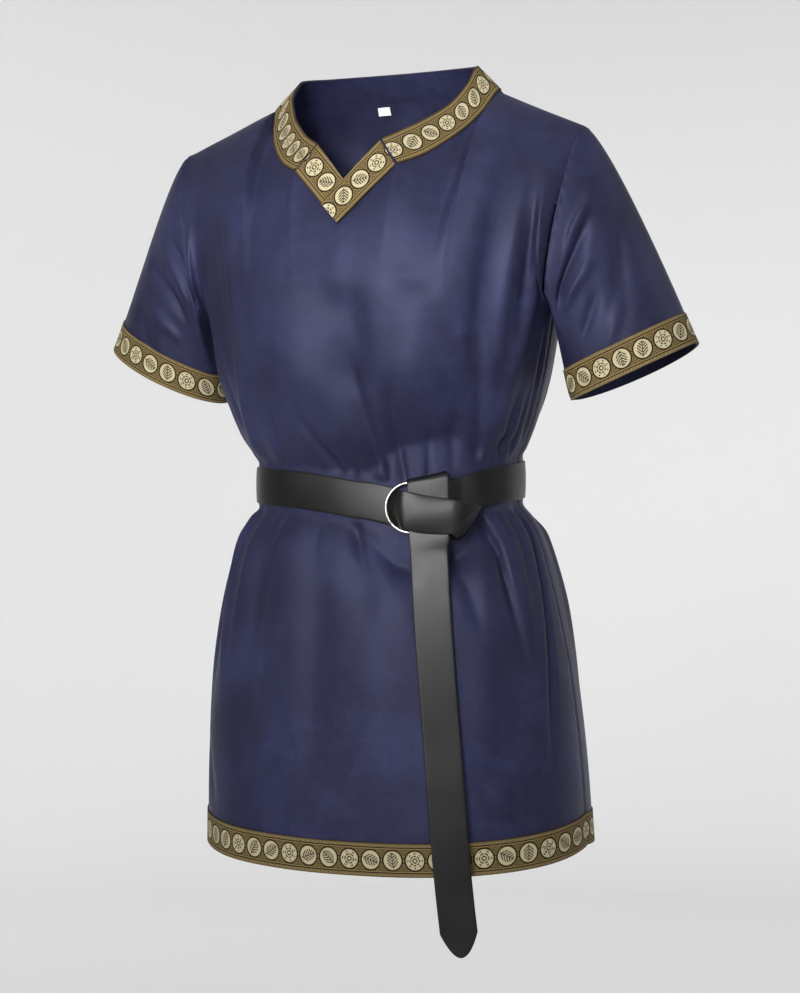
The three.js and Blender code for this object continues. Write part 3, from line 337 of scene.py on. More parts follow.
def top_edge(side, x):
    """The panel's upper edge: the neck seam, then the shoulder seam."""
    neck = neck_point(neck_place(side, x), 0)
    seam = point(x, read(SHOULDER_SEAM[:, [0, 1]], x), read(SHOULDER_SEAM[:, [0, 2]], x))
    return np.where((x < NECK_SIDE)[..., None], neck, seam)


def hermite(a, tangent_a, b, tangent_b, t):
    """A cubic from a to b with the given tangents."""
    t = np.asarray(t)[..., None]
    return (a * (1 + 2 * t) * (1 - t) ** 2 + tangent_a * t * (1 - t) ** 2
            + b * t * t * (3 - 2 * t) - tangent_b * t * t * (1 - t))


def upper(side, turn, level):
    """Cloth above the underarm: a cubic up each column, drawn back from the side along the armhole."""
    turn, level = np.broadcast_arrays(turn, level)
    t = (level - UNDERARM) / YOKE_RISE
    x = SHOULDER_HALF * np.abs(np.sin(np.radians(turn))) ** (2 / ROUNDNESS)
    lean = np.radians(read(FRONT_LEAN if side == FRONT else BACK_LEAN, x))
    top = top_edge(side, x)
    arrive = point(0, -side * np.sin(lean), np.cos(lean))
    top[..., 0] *= np.sign(turn)
    top[..., 1] += side * SEAM
    top -= np.where(x < NECK_SIDE + 1, SEAM, 0)[..., None] * arrive
    start = lower(side, turn, UNDERARM)
    leave = unit(start - lower(side, turn, UNDERARM - 4))
    chord = np.linalg.norm(top - start, axis=-1)[..., None]
    settle = mix(1, TIP_TANGENT, ease((x - NECK_SIDE) / (SHOULDER_HALF - NECK_SIDE)))[..., None]
    points = hermite(start, leave * chord, top, arrive * chord * settle, t)
    rise = np.clip(t, 0, 1)
    short = ARMHOLE[side] / ARMHOLE["most"] * rise ** ARMHOLE["grow"] * (1 - rise) ** ARMHOLE["fade"]
    short = short * ease(rise / mix(ARMHOLE["near"], 1, ease((90 - np.abs(turn)) / ARMHOLE["turn"])))
    depth = section(FRONT_Y if side == FRONT else BACK_Y, UNDERARM) - section(SIDE, UNDERARM)
    points[..., 1] += depth * (outward(turn * (1 - short)) - outward(turn))
    return points


def smooth(side, turn, level):
    """The panel without its folds."""
    turn, level = np.broadcast_arrays(np.asarray(turn, float), np.asarray(level, float))
    return np.where((level <= UNDERARM)[..., None], lower(side, turn, np.minimum(level, UNDERARM)),
                    upper(side, turn, np.maximum(level, UNDERARM)))


def fold(across, up, to_across, to_up, wide, deep, rise, fade, lean):
    """Height of one fold: a bell across its line, steeper on one side by lean, that rises and fades
    along it."""
    length = np.hypot(to_across, to_up)
    along = (across * to_across + up * to_up) / length ** 2
    away = (across * to_up - up * to_across) / length
    reach = wide * (1 + lean * np.tanh(away / wide))
    return -deep * ease(along / rise) * ease((1 - along) / fade) * np.exp(-((away / reach) ** 2))


rng = np.random.default_rng(11)
RIPPLES = [(rng.uniform(0.03, 0.09), rng.uniform(0.008, 0.03), rng.uniform(0, 6.28)) for _ in range(9)]


def ripple(across, up):
    """Faint uneven waves of the cloth, longer up than across: a sum of sines."""
    total = 0
    for i, (k, m, phase) in enumerate(RIPPLES):
        total = total + np.sin(k * across + (m if i % 2 else -m) * up + phase)
    return total / 3


def crease(side, turn, level):
    """How far folds, gathers and ripples move the cloth outwards."""
    out = RIPPLE_HIGH["body"] * ripple(turn * MM_PER_DEGREE + 300 * side, level)
    for start, high, end, low, *form in FOLDS[side]:
        out = out + fold((turn - start) * MM_PER_DEGREE, level - high, (end - start) * MM_PER_DEGREE,
                         low - high, *form)
    above = np.abs(level - BELT_LEVEL) - GATHERS["clear"]
    begin = above + GATHERS["inside"]
    press = ease(begin / GATHERS["over"]) * np.exp(-((np.maximum(above, 0) / GATHERS["reach"]) ** 2))
    swell = 1 - GATHERS["uneven"] + GATHERS["uneven"] * np.sin(np.radians(turn * GATHERS["swells"]))
    wave = np.cos(np.radians(turn * GATHERS["waves"]) + GATHERS["phase"] * side) * swell
    fine = FINE_GATHERS["high"] * np.cos(np.radians(turn * FINE_GATHERS["waves"]) + side)
    fine = fine * np.exp(-((above / FINE_GATHERS["reach"]) ** 2)) * ease(begin / FINE_GATHERS["over"])
    out = out * ease((above + FOLDS_START["inside"]) / FOLDS_START["over"])
    out = out + GATHERS["high"] * press * wave + fine
    held = hold_at(side, turn, level)
    return out * (1 - np.where(out < 0, HOLD["troughs"] * held, held))


def ways_out(rows, ring=False):
    """Way out of a grid at each point: the step along its row crossed with the step up its column."""
    sideways = np.roll(rows, -1, 1) - np.roll(rows, 1, 1) if ring else np.gradient(rows, axis=1)
    return unit(np.cross(sideways, np.gradient(rows, axis=0)))


def cloth(side, turn, level):
    """The panel with its folds, and the way out of it: the smooth panel moved along its own normal."""
    step = 0.4
    before, after = np.maximum(turn - step, -90), np.minimum(turn + step, 90)
    sideways = smooth(side, after, level) - smooth(side, before, level)
    upwards = smooth(side, turn, np.minimum(level + step, TOP)) - smooth(side, turn, level - step)
    normal = unit(-side * np.cross(sideways, upwards))
    edge = ease((90 - np.abs(turn)) / FLAT_EDGE["turn"]) * ease((TOP - level) / FLAT_EDGE["level"])
    moved = crease(side, turn, level) * edge
    seam = 90 - np.abs(turn)
    groove = SIDE_SEAM["deep"] * np.exp(-((seam / SIDE_SEAM["half"]) ** 2))
    near = np.exp(-((seam / SIDE_SEAM["reach"]) ** 2))
    moved = moved - groove + SIDE_SEAM["pucker"] * near * np.cos(level * SIDE_SEAM["beat"])
    return smooth(side, turn, level) + normal * moved[..., None], normal


# Meshes.

SHARP_ANGLE = np.radians(50)


def fill(name, points, quads, uvs, material):
    """A piece from its points in millimetres, its four-cornered faces and the UV of each corner in metres."""
    mesh = bpy.data.meshes.new(name)
    mesh.from_pydata(points * MM, [], quads)
    layer = mesh.uv_layers.new(name="cloth")
    layer.data.foreach_set("uv", (uvs.reshape(-1, 2) * MM).ravel())
    mesh.polygons.foreach_set("use_smooth", np.ones(len(quads), bool))
    mesh.set_sharp_from_angle(angle=SHARP_ANGLE)
    mesh.materials.append(material)
    mesh.validate()
    piece = bpy.data.objects.new(name, mesh)
    bpy.context.scene.collection.objects.link(piece)
    return piece


def tube_faces(rows, columns, whole):
    """The faces of a grid whose rows are rings, its last row joined to its first if rows is the whole
    count: each corner's number, row and column."""
    i, j = (a.ravel() for a in np.meshgrid(np.arange(rows), np.arange(columns), indexing="ij"))
    row, column = np.stack([i, i, i + 1, i + 1], axis=1), np.stack([j, j + 1, j + 1, j], axis=1)
    return row % whole * columns + column % columns, row, column


def lengths(rows, ring):
    """UV of a grid in millimetres: the mean distance along the rows, and up the columns."""
    closed = np.concatenate([rows, rows[:, :1]], axis=1) if ring else rows
    across = np.linalg.norm(np.diff(closed, axis=1), axis=2).mean(axis=0)
    up = np.linalg.norm(np.diff(rows, axis=0), axis=2).mean(axis=1)
    u = np.concatenate([[0], np.cumsum(across)])
    v = np.concatenate([[0], np.cumsum(up)])
    return np.stack(np.meshgrid(u, v), axis=-1)


def wall(name, rows, thick, material, ring=False, uv=None):
    """A closed wall about a grid: the grid moved half the thickness out and half in, with rims."""
    out = ways_out(rows, ring) * np.broadcast_to(thick, rows.shape[:2])[..., None] / 2
    r, c = rows.shape[:2]
    points = np.concatenate([(rows + out).reshape(-1, 3), (rows - out).reshape(-1, 3)])
    uv = lengths(rows, ring) if uv is None else uv
    i, j = (a.ravel() for a in np.meshgrid(np.arange(r - 1), np.arange(c if ring else c - 1), indexing="ij"))
    lows, highs = np.arange(c if ring else c - 1), np.arange(r - 1)
    inside = r * c

    def faces(corners):
        index = np.stack([a * c + b % c + layer * inside for a, b, layer in corners], axis=1)
        return index, np.stack([uv[a, b] for a, b, _ in corners], axis=1)

    zero, top, first, end = lows * 0, lows * 0 + r - 1, highs * 0, highs * 0 + c - 1
    groups = [
        faces([(i, j, 0), (i, j + 1, 0), (i + 1, j + 1, 0), (i + 1, j, 0)]),
        faces([(i, j, 1), (i + 1, j, 1), (i + 1, j + 1, 1), (i, j + 1, 1)]),
        faces([(zero, lows, 0), (zero, lows, 1), (zero, lows + 1, 1), (zero, lows + 1, 0)]),
        faces([(top, lows, 0), (top, lows + 1, 0), (top, lows + 1, 1), (top, lows, 1)]),
    ]
    if not ring:
        groups += [
            faces([(highs, first, 0), (highs + 1, first, 0), (highs + 1, first, 1), (highs, first, 1)]),
            faces([(highs, end, 0), (highs, end, 1), (highs + 1, end, 1), (highs + 1, end, 0)]),
        ]
    quads = np.concatenate([g[0] for g in groups])
    return fill(name, points, quads, np.concatenate([g[1] for g in groups]), material)


# Materials.


def linear(code):
    """A linear colour from an sRGB hex value."""
    srgb = np.array([int(code[i:i + 2], 16) for i in (0, 2, 4)]) / 255
    return tuple(np.where(srgb <= 0.04045, srgb / 12.92, ((srgb + 0.055) / 1.055) ** 2.4)) + (1,)


def new_material(name):
    """An empty material, and the function that adds a node to it."""
    material = bpy.data.materials.new(name)
    material.use_nodes = True
    tree = material.node_tree
    tree.nodes.clear()

    def add(kind, *inputs, named=None, **settings):
        """Adds a node, sets it, and links or sets its inputs in order, then those given by name."""
        node = tree.nodes.new("ShaderNode" + kind)
        for key, value in settings.items():
            setattr(node, key, value)
        for key, value in [*enumerate(inputs), *(named or {}).items()]:
            if isinstance(value, bpy.types.Node):
                value = next(s for s in value.outputs if s.enabled)
            if isinstance(value, bpy.types.NodeSocket):
                tree.links.new(value, node.inputs[key])
            else:
                node.inputs[key].default_value = value
        return node

    return material, add


def ramp(add, factor, stops):
    """A colour ramp with the given (place, hex) stops."""
    node = add("ValToRGB", factor)
    while len(node.color_ramp.elements) < len(stops):
        node.color_ramp.elements.new(0.5)
    for element, (place, code) in zip(node.color_ramp.elements, stops):
        element.position = place
        element.color = linear(code)
    return node


def finish_material(add, **inputs):
    """The surface shader and the output."""
    add("OutputMaterial", add("BsdfPrincipled", named=inputs))


def satin():
    """Polyester satin, woven: long floats give it a soft broad gloss with fine mottling."""
    material, add = new_material("navy_satin")
    place = add("TexCoord")
    where = place.outputs["Object"]
    patches = add("TexNoise", where, named={"Scale": 9, "Detail": 4, "Roughness": 0.6})
    mottle = add("TexNoise", where, named={"Scale": 95, "Detail": 5, "Roughness": 0.65, "Distortion": 0.6})
    colour = ramp(add, patches, [(0.28, "1E1F33"), (0.5, "272840"), (0.72, "313454")])
    fine = ramp(add, mottle, [(0.3, "DADADF"), (0.7, "FFFFFF")])
    tinted = add("Mix", data_type="RGBA", blend_type="MULTIPLY",
                 named={0: 1.0, 6: colour, 7: fine})
    gloss = add("MapRange", mottle, 0.25, 0.75, 0.44, 0.58)
    # Threads are 0.2 mm apart; they are drawn 1.9 mm apart so that they show.
    threads = add("TexWave", place.outputs["UV"], wave_type="BANDS", bands_direction="DIAGONAL",
                  named={"Scale": 230, "Distortion": 1.2, "Detail": 2, "Detail Scale": 2})
    soft = add("TexNoise", where, named={"Scale": 130, "Detail": 3, "Roughness": 0.55})
    weave = add("Bump", named={"Strength": 0.1, "Distance": 0.0002, "Height": threads})
    crush = add("Bump", named={"Strength": 0.35, "Distance": 0.0006, "Height": soft, "Normal": weave})
    finish_material(add, **{
        "Base Color": tinted.outputs[2], "Roughness": gloss, "IOR": 1.5, "Specular IOR Level": 0.4,
        "Specular Tint": linear("B0B3DA"), "Sheen Weight": 0.05, "Sheen Roughness": 0.4,
        "Sheen Tint": linear("8A8CC0"), "Normal": crush,
    })
    return material


def leather():
    """Finished cowhide, dyed through and rolled smooth: it shows a small even grain and a soft gloss."""
    material, add = new_material("black_leather")
    place = add("TexCoord")
    where = place.outputs["UV"]
    tone = add("TexNoise", where, named={"Scale": 22, "Detail": 4, "Roughness": 0.6})
    colour = ramp(add, tone, [(0.3, "0A0909"), (0.7, "121111")])
    gloss = add("MapRange", tone, 0.3, 0.7, 0.33, 0.45)
    # Grain cells about 1.1 mm across, and finer pores.
    cells = add("TexVoronoi", where, named={"Scale": 900, "Randomness": 1.0})
    pores = add("TexNoise", where, named={"Scale": 420, "Detail": 6, "Roughness": 0.7})
    wrinkles = add("TexNoise", add("Mapping", where, named={"Scale": (1, 0.35, 1)}),
                   named={"Scale": 160, "Detail": 3, "Distortion": 1.5})
    a = add("Bump", named={"Strength": 0.12, "Distance": 0.0002, "Height": cells})
    b = add("Bump", named={"Strength": 0.18, "Distance": 0.0003, "Height": pores, "Normal": a})
    c = add("Bump", named={"Strength": 0.12, "Distance": 0.0005, "Height": wrinkles, "Normal": b})
    finish_material(add, **{
        "Base Color": colour, "Roughness": gloss, "Specular IOR Level": 0.34, "IOR": 1.5, "Normal": c,
    })
    return material


def nickel():
    """Nickel-plated steel wire, polished, with faint handling marks."""
    material, add = new_material("polished_nickel")
    place = add("TexCoord")
    marks = add("TexNoise", place.outputs["Object"], named={"Scale": 300, "Detail": 4})
    gloss = add("MapRange", marks, 0.3, 0.7, 0.14, 0.3)
    finish_material(add, **{"Base Color": linear("C9C4BC"), "Metallic": 1.0, "Roughness": gloss})
    return material


def tab_cloth():
    """Bare woven polyester tape, white and matt."""
    material, add = new_material("white_tape")
    place = add("TexCoord")
    threads = add("TexWave", place.outputs["UV"], named={"Scale": 900, "Distortion": 0.6})
    colour = ramp(add, threads, [(0.0, "E4E4E2"), (1.0, "F4F4F3")])
    weave = add("Bump", named={"Strength": 0.2, "Distance": 0.0002, "Height": threads})
    finish_material(add, **{"Base Color": colour, "Roughness": 0.75, "Normal": weave})
    return material


PITCH = 22.5


def woven_ribbon():
    """Jacquard ribbon: cream rounds with leaf sprigs and rosettes on a brown and gold ground, between
    stitched borders. The UV's u runs along the ribbon in rounds and v across it in millimetres."""
    material, add = new_material("jacquard_ribbon")
    uv = add("SeparateXYZ", add("TexCoord").outputs["UV"])
    u = add("Math", uv.outputs[0], 1000 / PITCH, operation="MULTIPLY")
    y = add("Math", uv.outputs[1], 1000.0, operation="MULTIPLY")
    cell = add("Math", u, operation="FLOOR")
    from_middle = add("Math", add("Math", u, operation="FRACT"), 0.5, operation="SUBTRACT")
    x = add("Math", from_middle, PITCH, operation="MULTIPLY")
    away = add("Math", y, operation="ABSOLUTE")
    aside = add("Math", x, operation="ABSOLUTE")
    flat = add("CombineXYZ", x, y, 0.0)
    radius = add("VectorMath", flat, operation="LENGTH").outputs["Value"]
    chance = add("TexWhiteNoise", named={"W": cell}, noise_dimensions="1D")

    # The sprig: a leaf turned by chance, with slanting veins and a stem.
    angle = add("Math", chance.outputs["Value"], 6.28, operation="MULTIPLY")
    turned = add("VectorRotate", flat, named={"Angle": angle}, rotation_type="Z_AXIS")
    leaf = add("SeparateXYZ", turned)
    side = add("Math", leaf.outputs[0], operation="ABSOLUTE")
    slant = add("Math", side, 0.9, leaf.outputs[1], operation="MULTIPLY_ADD")
    veins = add("Math", add("Math", slant, 2.1, operation="MULTIPLY"), operation="SINE")
    rounded = add("CombineXYZ", add("Math", side, 1.35, operation="MULTIPLY"), leaf.outputs[1], 0.0)
    body = add("Math", add("VectorMath", rounded, operation="LENGTH").outputs["Value"], 7.6,
               operation="LESS_THAN")
    blades = add("Math", body, add("Math", veins, -0.35, operation="GREATER_THAN"), operation="MULTIPLY")
    stem = add("Math", add("Math", side, 0.5, operation="LESS_THAN"),
               add("Math", radius, 8.2, operation="LESS_THAN"), operation="MULTIPLY")
    sprig = add("Math", blades, stem, operation="MAXIMUM")

    # The rosette: petals by a cosine of the angle, round a small eye.
    around = add("Math", y, x, operation="ARCTAN2")
    picked = add("Math", chance.outputs["Value"], 3.0, operation="MULTIPLY")
    count = add("Math", add("Math", picked, operation="FLOOR"), 6.0, operation="ADD")
    wave = add("Math", add("Math", around, count, operation="MULTIPLY"), angle, operation="ADD")
    petals = add("Math", wave, operation="COSINE")
    edge = add("Math", petals, 2.0, 6.0, operation="MULTIPLY_ADD")
    flower = add("Math", radius, edge, operation="LESS_THAN")
    rings = add("Math", add("Math", radius, 2.4, operation="MULTIPLY"), operation="SINE")
    rosette = add("Math", flower, add("Math", rings, 0.3, operation="LESS_THAN"), operation="MULTIPLY")
    kind = add("Math", add("Math", cell, 3.0, operation="FLOORED_MODULO"), 0.5, operation="LESS_THAN")
    drawn = add("Mix", named={0: kind, 2: sprig, 3: rosette}, data_type="FLOAT")
    broken = add("TexNoise", add("VectorMath", flat, named={1: (7.0, 3.0, 0.0)}, operation="ADD"),
                 named={"Scale": 0.9, "Detail": 3, "Roughness": 0.8})
    worn = add("Math", drawn, add("MapRange", broken, 0.36, 0.5, 0.3, 1.0), operation="MULTIPLY")

    # Rounds by their radius in millimetres, over 12.
    inside = ramp(add, add("Math", radius, 12.0, operation="DIVIDE"),
                  [(0.0, "C2B899"), (0.74, "B9AE8D"), (0.765, "20170D"), (0.87, "20170D"), (0.9, "564625")])
    figured = add("Mix", data_type="RGBA", named={0: worn, 6: inside, 7: linear("33270F")})
    # Borders by the distance from the middle line, over 16: thin gold lines on brown.
    ground = ramp(add, add("Math", away, 16.0, operation="DIVIDE"),
                  [(0.0, "261C11"), (0.66, "261C11"), (0.68, "8C784A"), (0.72, "8C784A"), (0.735, "1E150C"),
                   (0.80, "1E150C"), (0.955, "22190E"), (0.965, "7C693E"), (1.0, "453720")])
    # Slanting gold stitches fill the outer border.
    slope = add("Math", u, 6.2832 * 15, add("Math", away, 1.5, operation="MULTIPLY"),
                operation="MULTIPLY_ADD")
    dots = add("Math", add("Math", slope, operation="SINE"), -0.1, operation="GREATER_THAN")
    band = add("Math", away, 14.0, 1.25, operation="COMPARE")
    beads = add("Math", dots, band, operation="MULTIPLY")
    bordered = add("Mix", data_type="RGBA",
                   named={0: add("Math", beads, 0.9, operation="MULTIPLY"), 6: ground, 7: linear("A28F63")})
    # Nested chevrons fill the corners between the rounds.
    from_border = add("Math", 10.4, away, operation="SUBTRACT")
    corner = add("Math", add("Math", PITCH / 2, aside, operation="SUBTRACT"),
                 add("Math", from_border, 0.75, operation="MULTIPLY"), operation="ADD")
    steps = add("Math", add("Math", corner, 3.4, operation="MULTIPLY"), operation="COSINE")
    nested = add("Math", steps, 0.1, operation="GREATER_THAN")
    wedge = add("Math", nested, add("Math", away, 10.4, operation="LESS_THAN"), operation="MULTIPLY")
    filled = add("Mix", data_type="RGBA", named={0: wedge, 6: bordered, 7: linear("8B784B")})
    disc = add("Math", radius, 10.8, operation="LESS_THAN")
    pattern = add("Mix", data_type="RGBA", named={0: disc, 6: filled, 7: figured})

    # Threads: weft ribs 0.6 mm apart across the ribbon, and slubs of their brightness.
    ribs = add("Math", add("Math", y, 10.5, operation="MULTIPLY"), operation="SINE")
    warp = add("Math", add("Math", u, 6.2832 * 30, operation="MULTIPLY"), operation="SINE")
    threads = add("Math", ribs, warp, operation="MULTIPLY")
    slubs = add("TexNoise", flat, named={"Scale": 1.6, "Detail": 3})
    shade = add("MapRange", slubs, 0.3, 0.7, 0.78, 1.12)
    shaded = add("VectorMath", pattern.outputs[2], named={"Scale": shade}, operation="SCALE")
    weave = add("Bump", named={"Strength": 0.35, "Distance": 0.0002, "Height": threads})
    raised = add("Bump", named={"Strength": 0.5, "Distance": 0.0003, "Height": drawn, "Normal": weave})
    finish_material(add, **{
        "Base Color": shaded.outputs[0], "Roughness": 0.7, "Specular IOR Level": 0.12, "Normal": raised,
    })
    return material


SATIN, LEATHER, NICKEL, TAPE, WOVEN = satin(), leather(), nickel(), tab_cloth(), woven_ribbon()


def keep(piece, node):
    """The piece stands for its node and rides with the body."""
    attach(piece, "root")
    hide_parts(node)
    return piece


# Cloth. The columns hold one for each corner of the neck seam.


def turn_at(x):
    """The column that meets the top edge at a distance from the middle."""
    return np.degrees(np.arcsin((np.asarray(x) / SHOULDER_HALF) ** (ROUNDNESS / 2)))


TURN_STEP = 1.15
HEM_LEVELS = np.linspace(HEM, HEM + RIBBON_WIDE, 9)
corners = turn_at(NECK_COLUMNS)
half_turns = np.unique(np.concatenate([
    *(np.linspace(a, b, 2 + int((b - a) / TURN_STEP), endpoint=False)
      for a, b in zip(corners, [*corners[1:], 88])),
    [88, 88.7, 89.2, 89.6, 90],
]))
TURNS = np.concatenate([-half_turns[:0:-1], half_turns])
LEVELS = np.unique(np.concatenate([
    HEM_LEVELS, np.linspace(HEM + RIBBON_WIDE, UNDERARM, 150), np.linspace(UNDERARM, TOP, 62),
]))


def panel(side):
    """A panel: columns from the wearer's right to left in front, and the other way at the back."""
    turn, level = np.meshgrid(TURNS if side == FRONT else TURNS[::-1], LEVELS)
    return cloth(side, turn, level)[0]


front = keep(wall("front_panel", panel(FRONT), CLOTH, SATIN), "front")
back = keep(wall("back_panel", panel(BACK), CLOTH, SATIN), "back")


# Each under the arm and at the shoulder: how far out and down a sleeve leaves the armhole, its gap
# there, and the lengths of its tangents at the armhole and the cuff.
SLEEVE_OUT, SLEEVE_BACK, SLEEVE_DOWN = (0.5, 0.8), 0.06, (0.86, 0.6)
SLEEVE_ASIDE, SLEEVE_CLEAR = 5.4 * SEAM, (SEAM, 3.4 * SEAM)
SLEEVE_PULL, SLEEVE_ARRIVE = (70, 95), (80, 200)
# How a sleeve's level rises with the way round, and how far its cuff points to the back.
SLEEVE_RISE, CUFF_BACK = 0.88, 0.08
# By shares of the way to the cuff: where the folds start, and how they weaken before the ribbon; the
# puckers at the armhole and the seam's groove.
SLEEVE_FADE = dict(start=0.06, less=0.7, at=0.8, over=0.1)
SLEEVE_PUCKER = dict(high=0.5, beat=0.55, reach=0.05)
SLEEVE_SEAM = dict(deep=0.8, half=0.008)
CUFF_ROWS = 7


def sleeve_point(hand, around, share):
    """A sleeve: cubics from the armhole's edge to the ellipse of the cuff. around: degrees from the
    underarm by the front to the shoulder's tip and on by the back."""
    centre, half, deep, slope, front_dip = CUFFS[hand]
    slope, angle = np.radians(slope), np.radians(around)
    rise = (1 - np.cos(angle)) / 2
    level = UNDERARM + (np.where(around <= 180, around, 360 - around) / 180) ** (1 / SLEEVE_RISE) * YOKE_RISE
    start = np.where((around <= 180)[..., None], smooth(FRONT, 90, level), smooth(BACK, 90, level))
    axis = unit(np.array([np.sin(slope), CUFF_BACK, -np.cos(slope)]))
    end = centre - np.array([np.cos(slope), 0, np.sin(slope)]) * (half * np.cos(angle))[..., None]
    end[..., 1] -= deep * np.sin(angle)
    end[..., 2] -= front_dip * np.maximum(0, np.sin(angle))
    leave = unit(point(mix(*SLEEVE_OUT, rise), SLEEVE_BACK, -mix(*SLEEVE_DOWN, rise)))
    start[..., 0] += (1 - rise ** 3) * SLEEVE_ASIDE
    start += leave * mix(*SLEEVE_CLEAR, rise)[..., None]
    pull, arrive = mix(*SLEEVE_PULL, rise)[..., None], mix(*SLEEVE_ARRIVE, rise)[..., None]
    points = hermite(start, leave * pull, end, axis * arrive, share)
    points[..., 0] *= hand
    return points


def sleeve(hand):
    """A sleeve with its folds and its puckers at the armhole, moved along its own normal."""
    around = np.linspace(0, 360, 150, endpoint=False)
    around = around if hand > 0 else -around % 360
    # How much of each column the ribbon covers, from the column's length near the cuff.
    near = sleeve_point(hand, *np.meshgrid(around, np.linspace(0.6, 1, 81)))
    left = np.linalg.norm(np.diff(near, axis=0), axis=2)[::-1].cumsum(axis=0)
    covered = np.array([np.interp(RIBBON_WIDE, column, np.linspace(0.005, 0.4, 80)) for column in left.T])
    part = np.concatenate([np.linspace(0, 1, CUFF_ROWS), 1 + np.linspace(0, 1, 88)[1:]])[:, None]
    share = np.where(part <= 1, 1 - part * covered, (1 - covered) * (2 - part))
    around = np.broadcast_to(around, share.shape)
    rows = sleeve_point(hand, around, share)
    out = RIPPLE_HIGH["sleeve"] * ripple(around * MM_PER_TURN + 90 * hand, share * MM_PER_SHARE)
    for start, near, end, far, *form in SLEEVE_FOLDS[hand]:
        out = out + fold((around - start) * MM_PER_TURN, (share - near) * MM_PER_SHARE,
                         (end - start) * MM_PER_TURN, (far - near) * MM_PER_SHARE, *form)
    weaker = SLEEVE_FADE["less"] * ease((share - SLEEVE_FADE["at"]) / SLEEVE_FADE["over"])
    out = out * ease(share / SLEEVE_FADE["start"]) * (1 - weaker)
    pucker = SLEEVE_PUCKER["high"] * np.cos(around * SLEEVE_PUCKER["beat"])
    pucker = pucker * np.exp(-((share / SLEEVE_PUCKER["reach"]) ** 2))
    groove = SLEEVE_SEAM["deep"] * np.exp(-((share / SLEEVE_SEAM["half"]) ** 2))
    return rows + ways_out(rows, True) * (out + pucker - groove)[..., None]


def ribbon_uv(rows, ring, start=0.0):
    """UV of a ribbon: distance along its middle from start, stretched to whole rounds on a closed
    one, and distance across from its middle line."""
    uv = lengths(rows, ring)
    along, across = uv[..., 0], uv[..., 1]
    if ring:
        along = along * round(along[0, -1] / PITCH) * PITCH / along[0, -1]
    return np.stack([along + start, across - across[-1:] / 2], axis=-1)


names = {1: "left", -1: "right"}
sleeves, cuffs = {}, {}
for hand, name in names.items():
    rows = sleeve(hand)
    sleeves[hand] = keep(wall(f"{name}_sleeve", rows, CLOTH, SATIN, True), f"sleeve_{name}")
    strip = (rows + ways_out(rows, True) * ON_CLOTH)[:CUFF_ROWS]
    cuffs[hand] = keep(wall(f"{name}_cuff_ribbon", strip, RIBBON, WOVEN, True, ribbon_uv(strip, True)),
                       f"cuff_ribbon_{name}")


def hem_rows():
    """The ribbon round the hem: both panels' points, moved out of the cloth."""
    front_turn, level = np.meshgrid(TURNS[:-1], HEM_LEVELS)
    back_turn, _ = np.meshgrid(TURNS[:0:-1], HEM_LEVELS)
    rows = np.concatenate([cloth(FRONT, front_turn, level)[0], cloth(BACK, back_turn, level)[0]], axis=1)
    return rows + ways_out(rows, True) * ON_CLOTH


rows = hem_rows()
hem = keep(wall("ribbon_at_hem", rows, RIBBON, WOVEN, True, ribbon_uv(rows, True)), "hem_ribbon")

# The neck band and its ribbon.


def spread(places, count):
    """The places with count - 1 more between each two."""
    return np.unique(np.concatenate([np.linspace(a, b, count + 1) for a, b in zip(places, places[1:])]))


front_places = neck_place(FRONT, np.array(NECK_COLUMNS))
back_places = neck_place(BACK, np.array(NECK_COLUMNS))[::-1]
half_places = np.concatenate([front_places, back_places[1:]])
around_neck = spread(half_places, 10)
around_neck = np.concatenate([-around_neck[-2:0:-1], around_neck])
band = neck_point(*np.meshgrid(around_neck, np.linspace(0, 1, 9)))
neck_band = keep(wall("band_at_neck", band, CLOTH, SATIN, True), "neck_band")

# Where the neck ribbon's mitre starts past the slit's corner, and how far up from the neck seam its
# lower edge lies, as a share of the band, eased in over so many places.
MITRE = 0.03
CLEAR_OF_SEAM = dict(share=0.07, places=3)
round_places = spread([1 + MITRE, *half_places[half_places > 1.01]], 10)
round_places = np.concatenate([round_places, -round_places[-2::-1]])
place, share = np.meshgrid(round_places, np.linspace(0, 1, 9))
clear = CLEAR_OF_SEAM["share"] * ease((np.abs(place) - 1) / CLEAR_OF_SEAM["places"])
strip = neck_point(place, mix(clear, 1, share))
strip = strip + ways_out(strip) * ON_CLOTH
neck_ribbon = keep(wall("ribbon_at_neck", strip, RIBBON, WOVEN, uv=ribbon_uv(strip, False, 8)),
                   "neck_ribbon")

SLIT = dict(y=-89, z=-107, rise=0.326, side=-0.03)


def slit_strip(corners, layers, turned):
    """A ribbon down one side of the slit: a flat four-cornered strip on the slit's plane, lifted by
    layers as it goes down. corners: inner top and end, outer top and end, as across and height."""
    inner_top, inner_end, outer_top, outer_end = (np.array(c, float) for c in corners)
    down, across = np.meshgrid(np.linspace(0, 1, 31), np.linspace(0, 1, 9))
    down, across = down[..., None], across[..., None]
    flat = mix(mix(outer_top, outer_end, down), mix(inner_top, inner_end, down), across)
    x, z = flat[..., 0], flat[..., 1]
    lift = ON_CLOTH + mix(*layers, ease(down[..., 0] * 2)) * (RIBBON + SEAM)
    out = unit(np.array([0, -1, SLIT["rise"]]))
    y = SLIT["y"] + SLIT["rise"] * (z - SLIT["z"]) + SLIT["side"] * np.abs(x)
    rows = point(x, y, z) + lift[..., None] * out
    # Across the ribbon the pattern keeps its width, measured square to the strip.
    way = unit(outer_end - outer_top)
    along = (flat - outer_top) @ way
    aside = np.abs((flat - outer_top) @ np.array([-way[1], way[0]]))
    uv = np.stack([along, aside - aside.max() / 2], axis=-1)
    return (rows[:, ::-1], uv[:, ::-1]) if turned else (rows, uv)


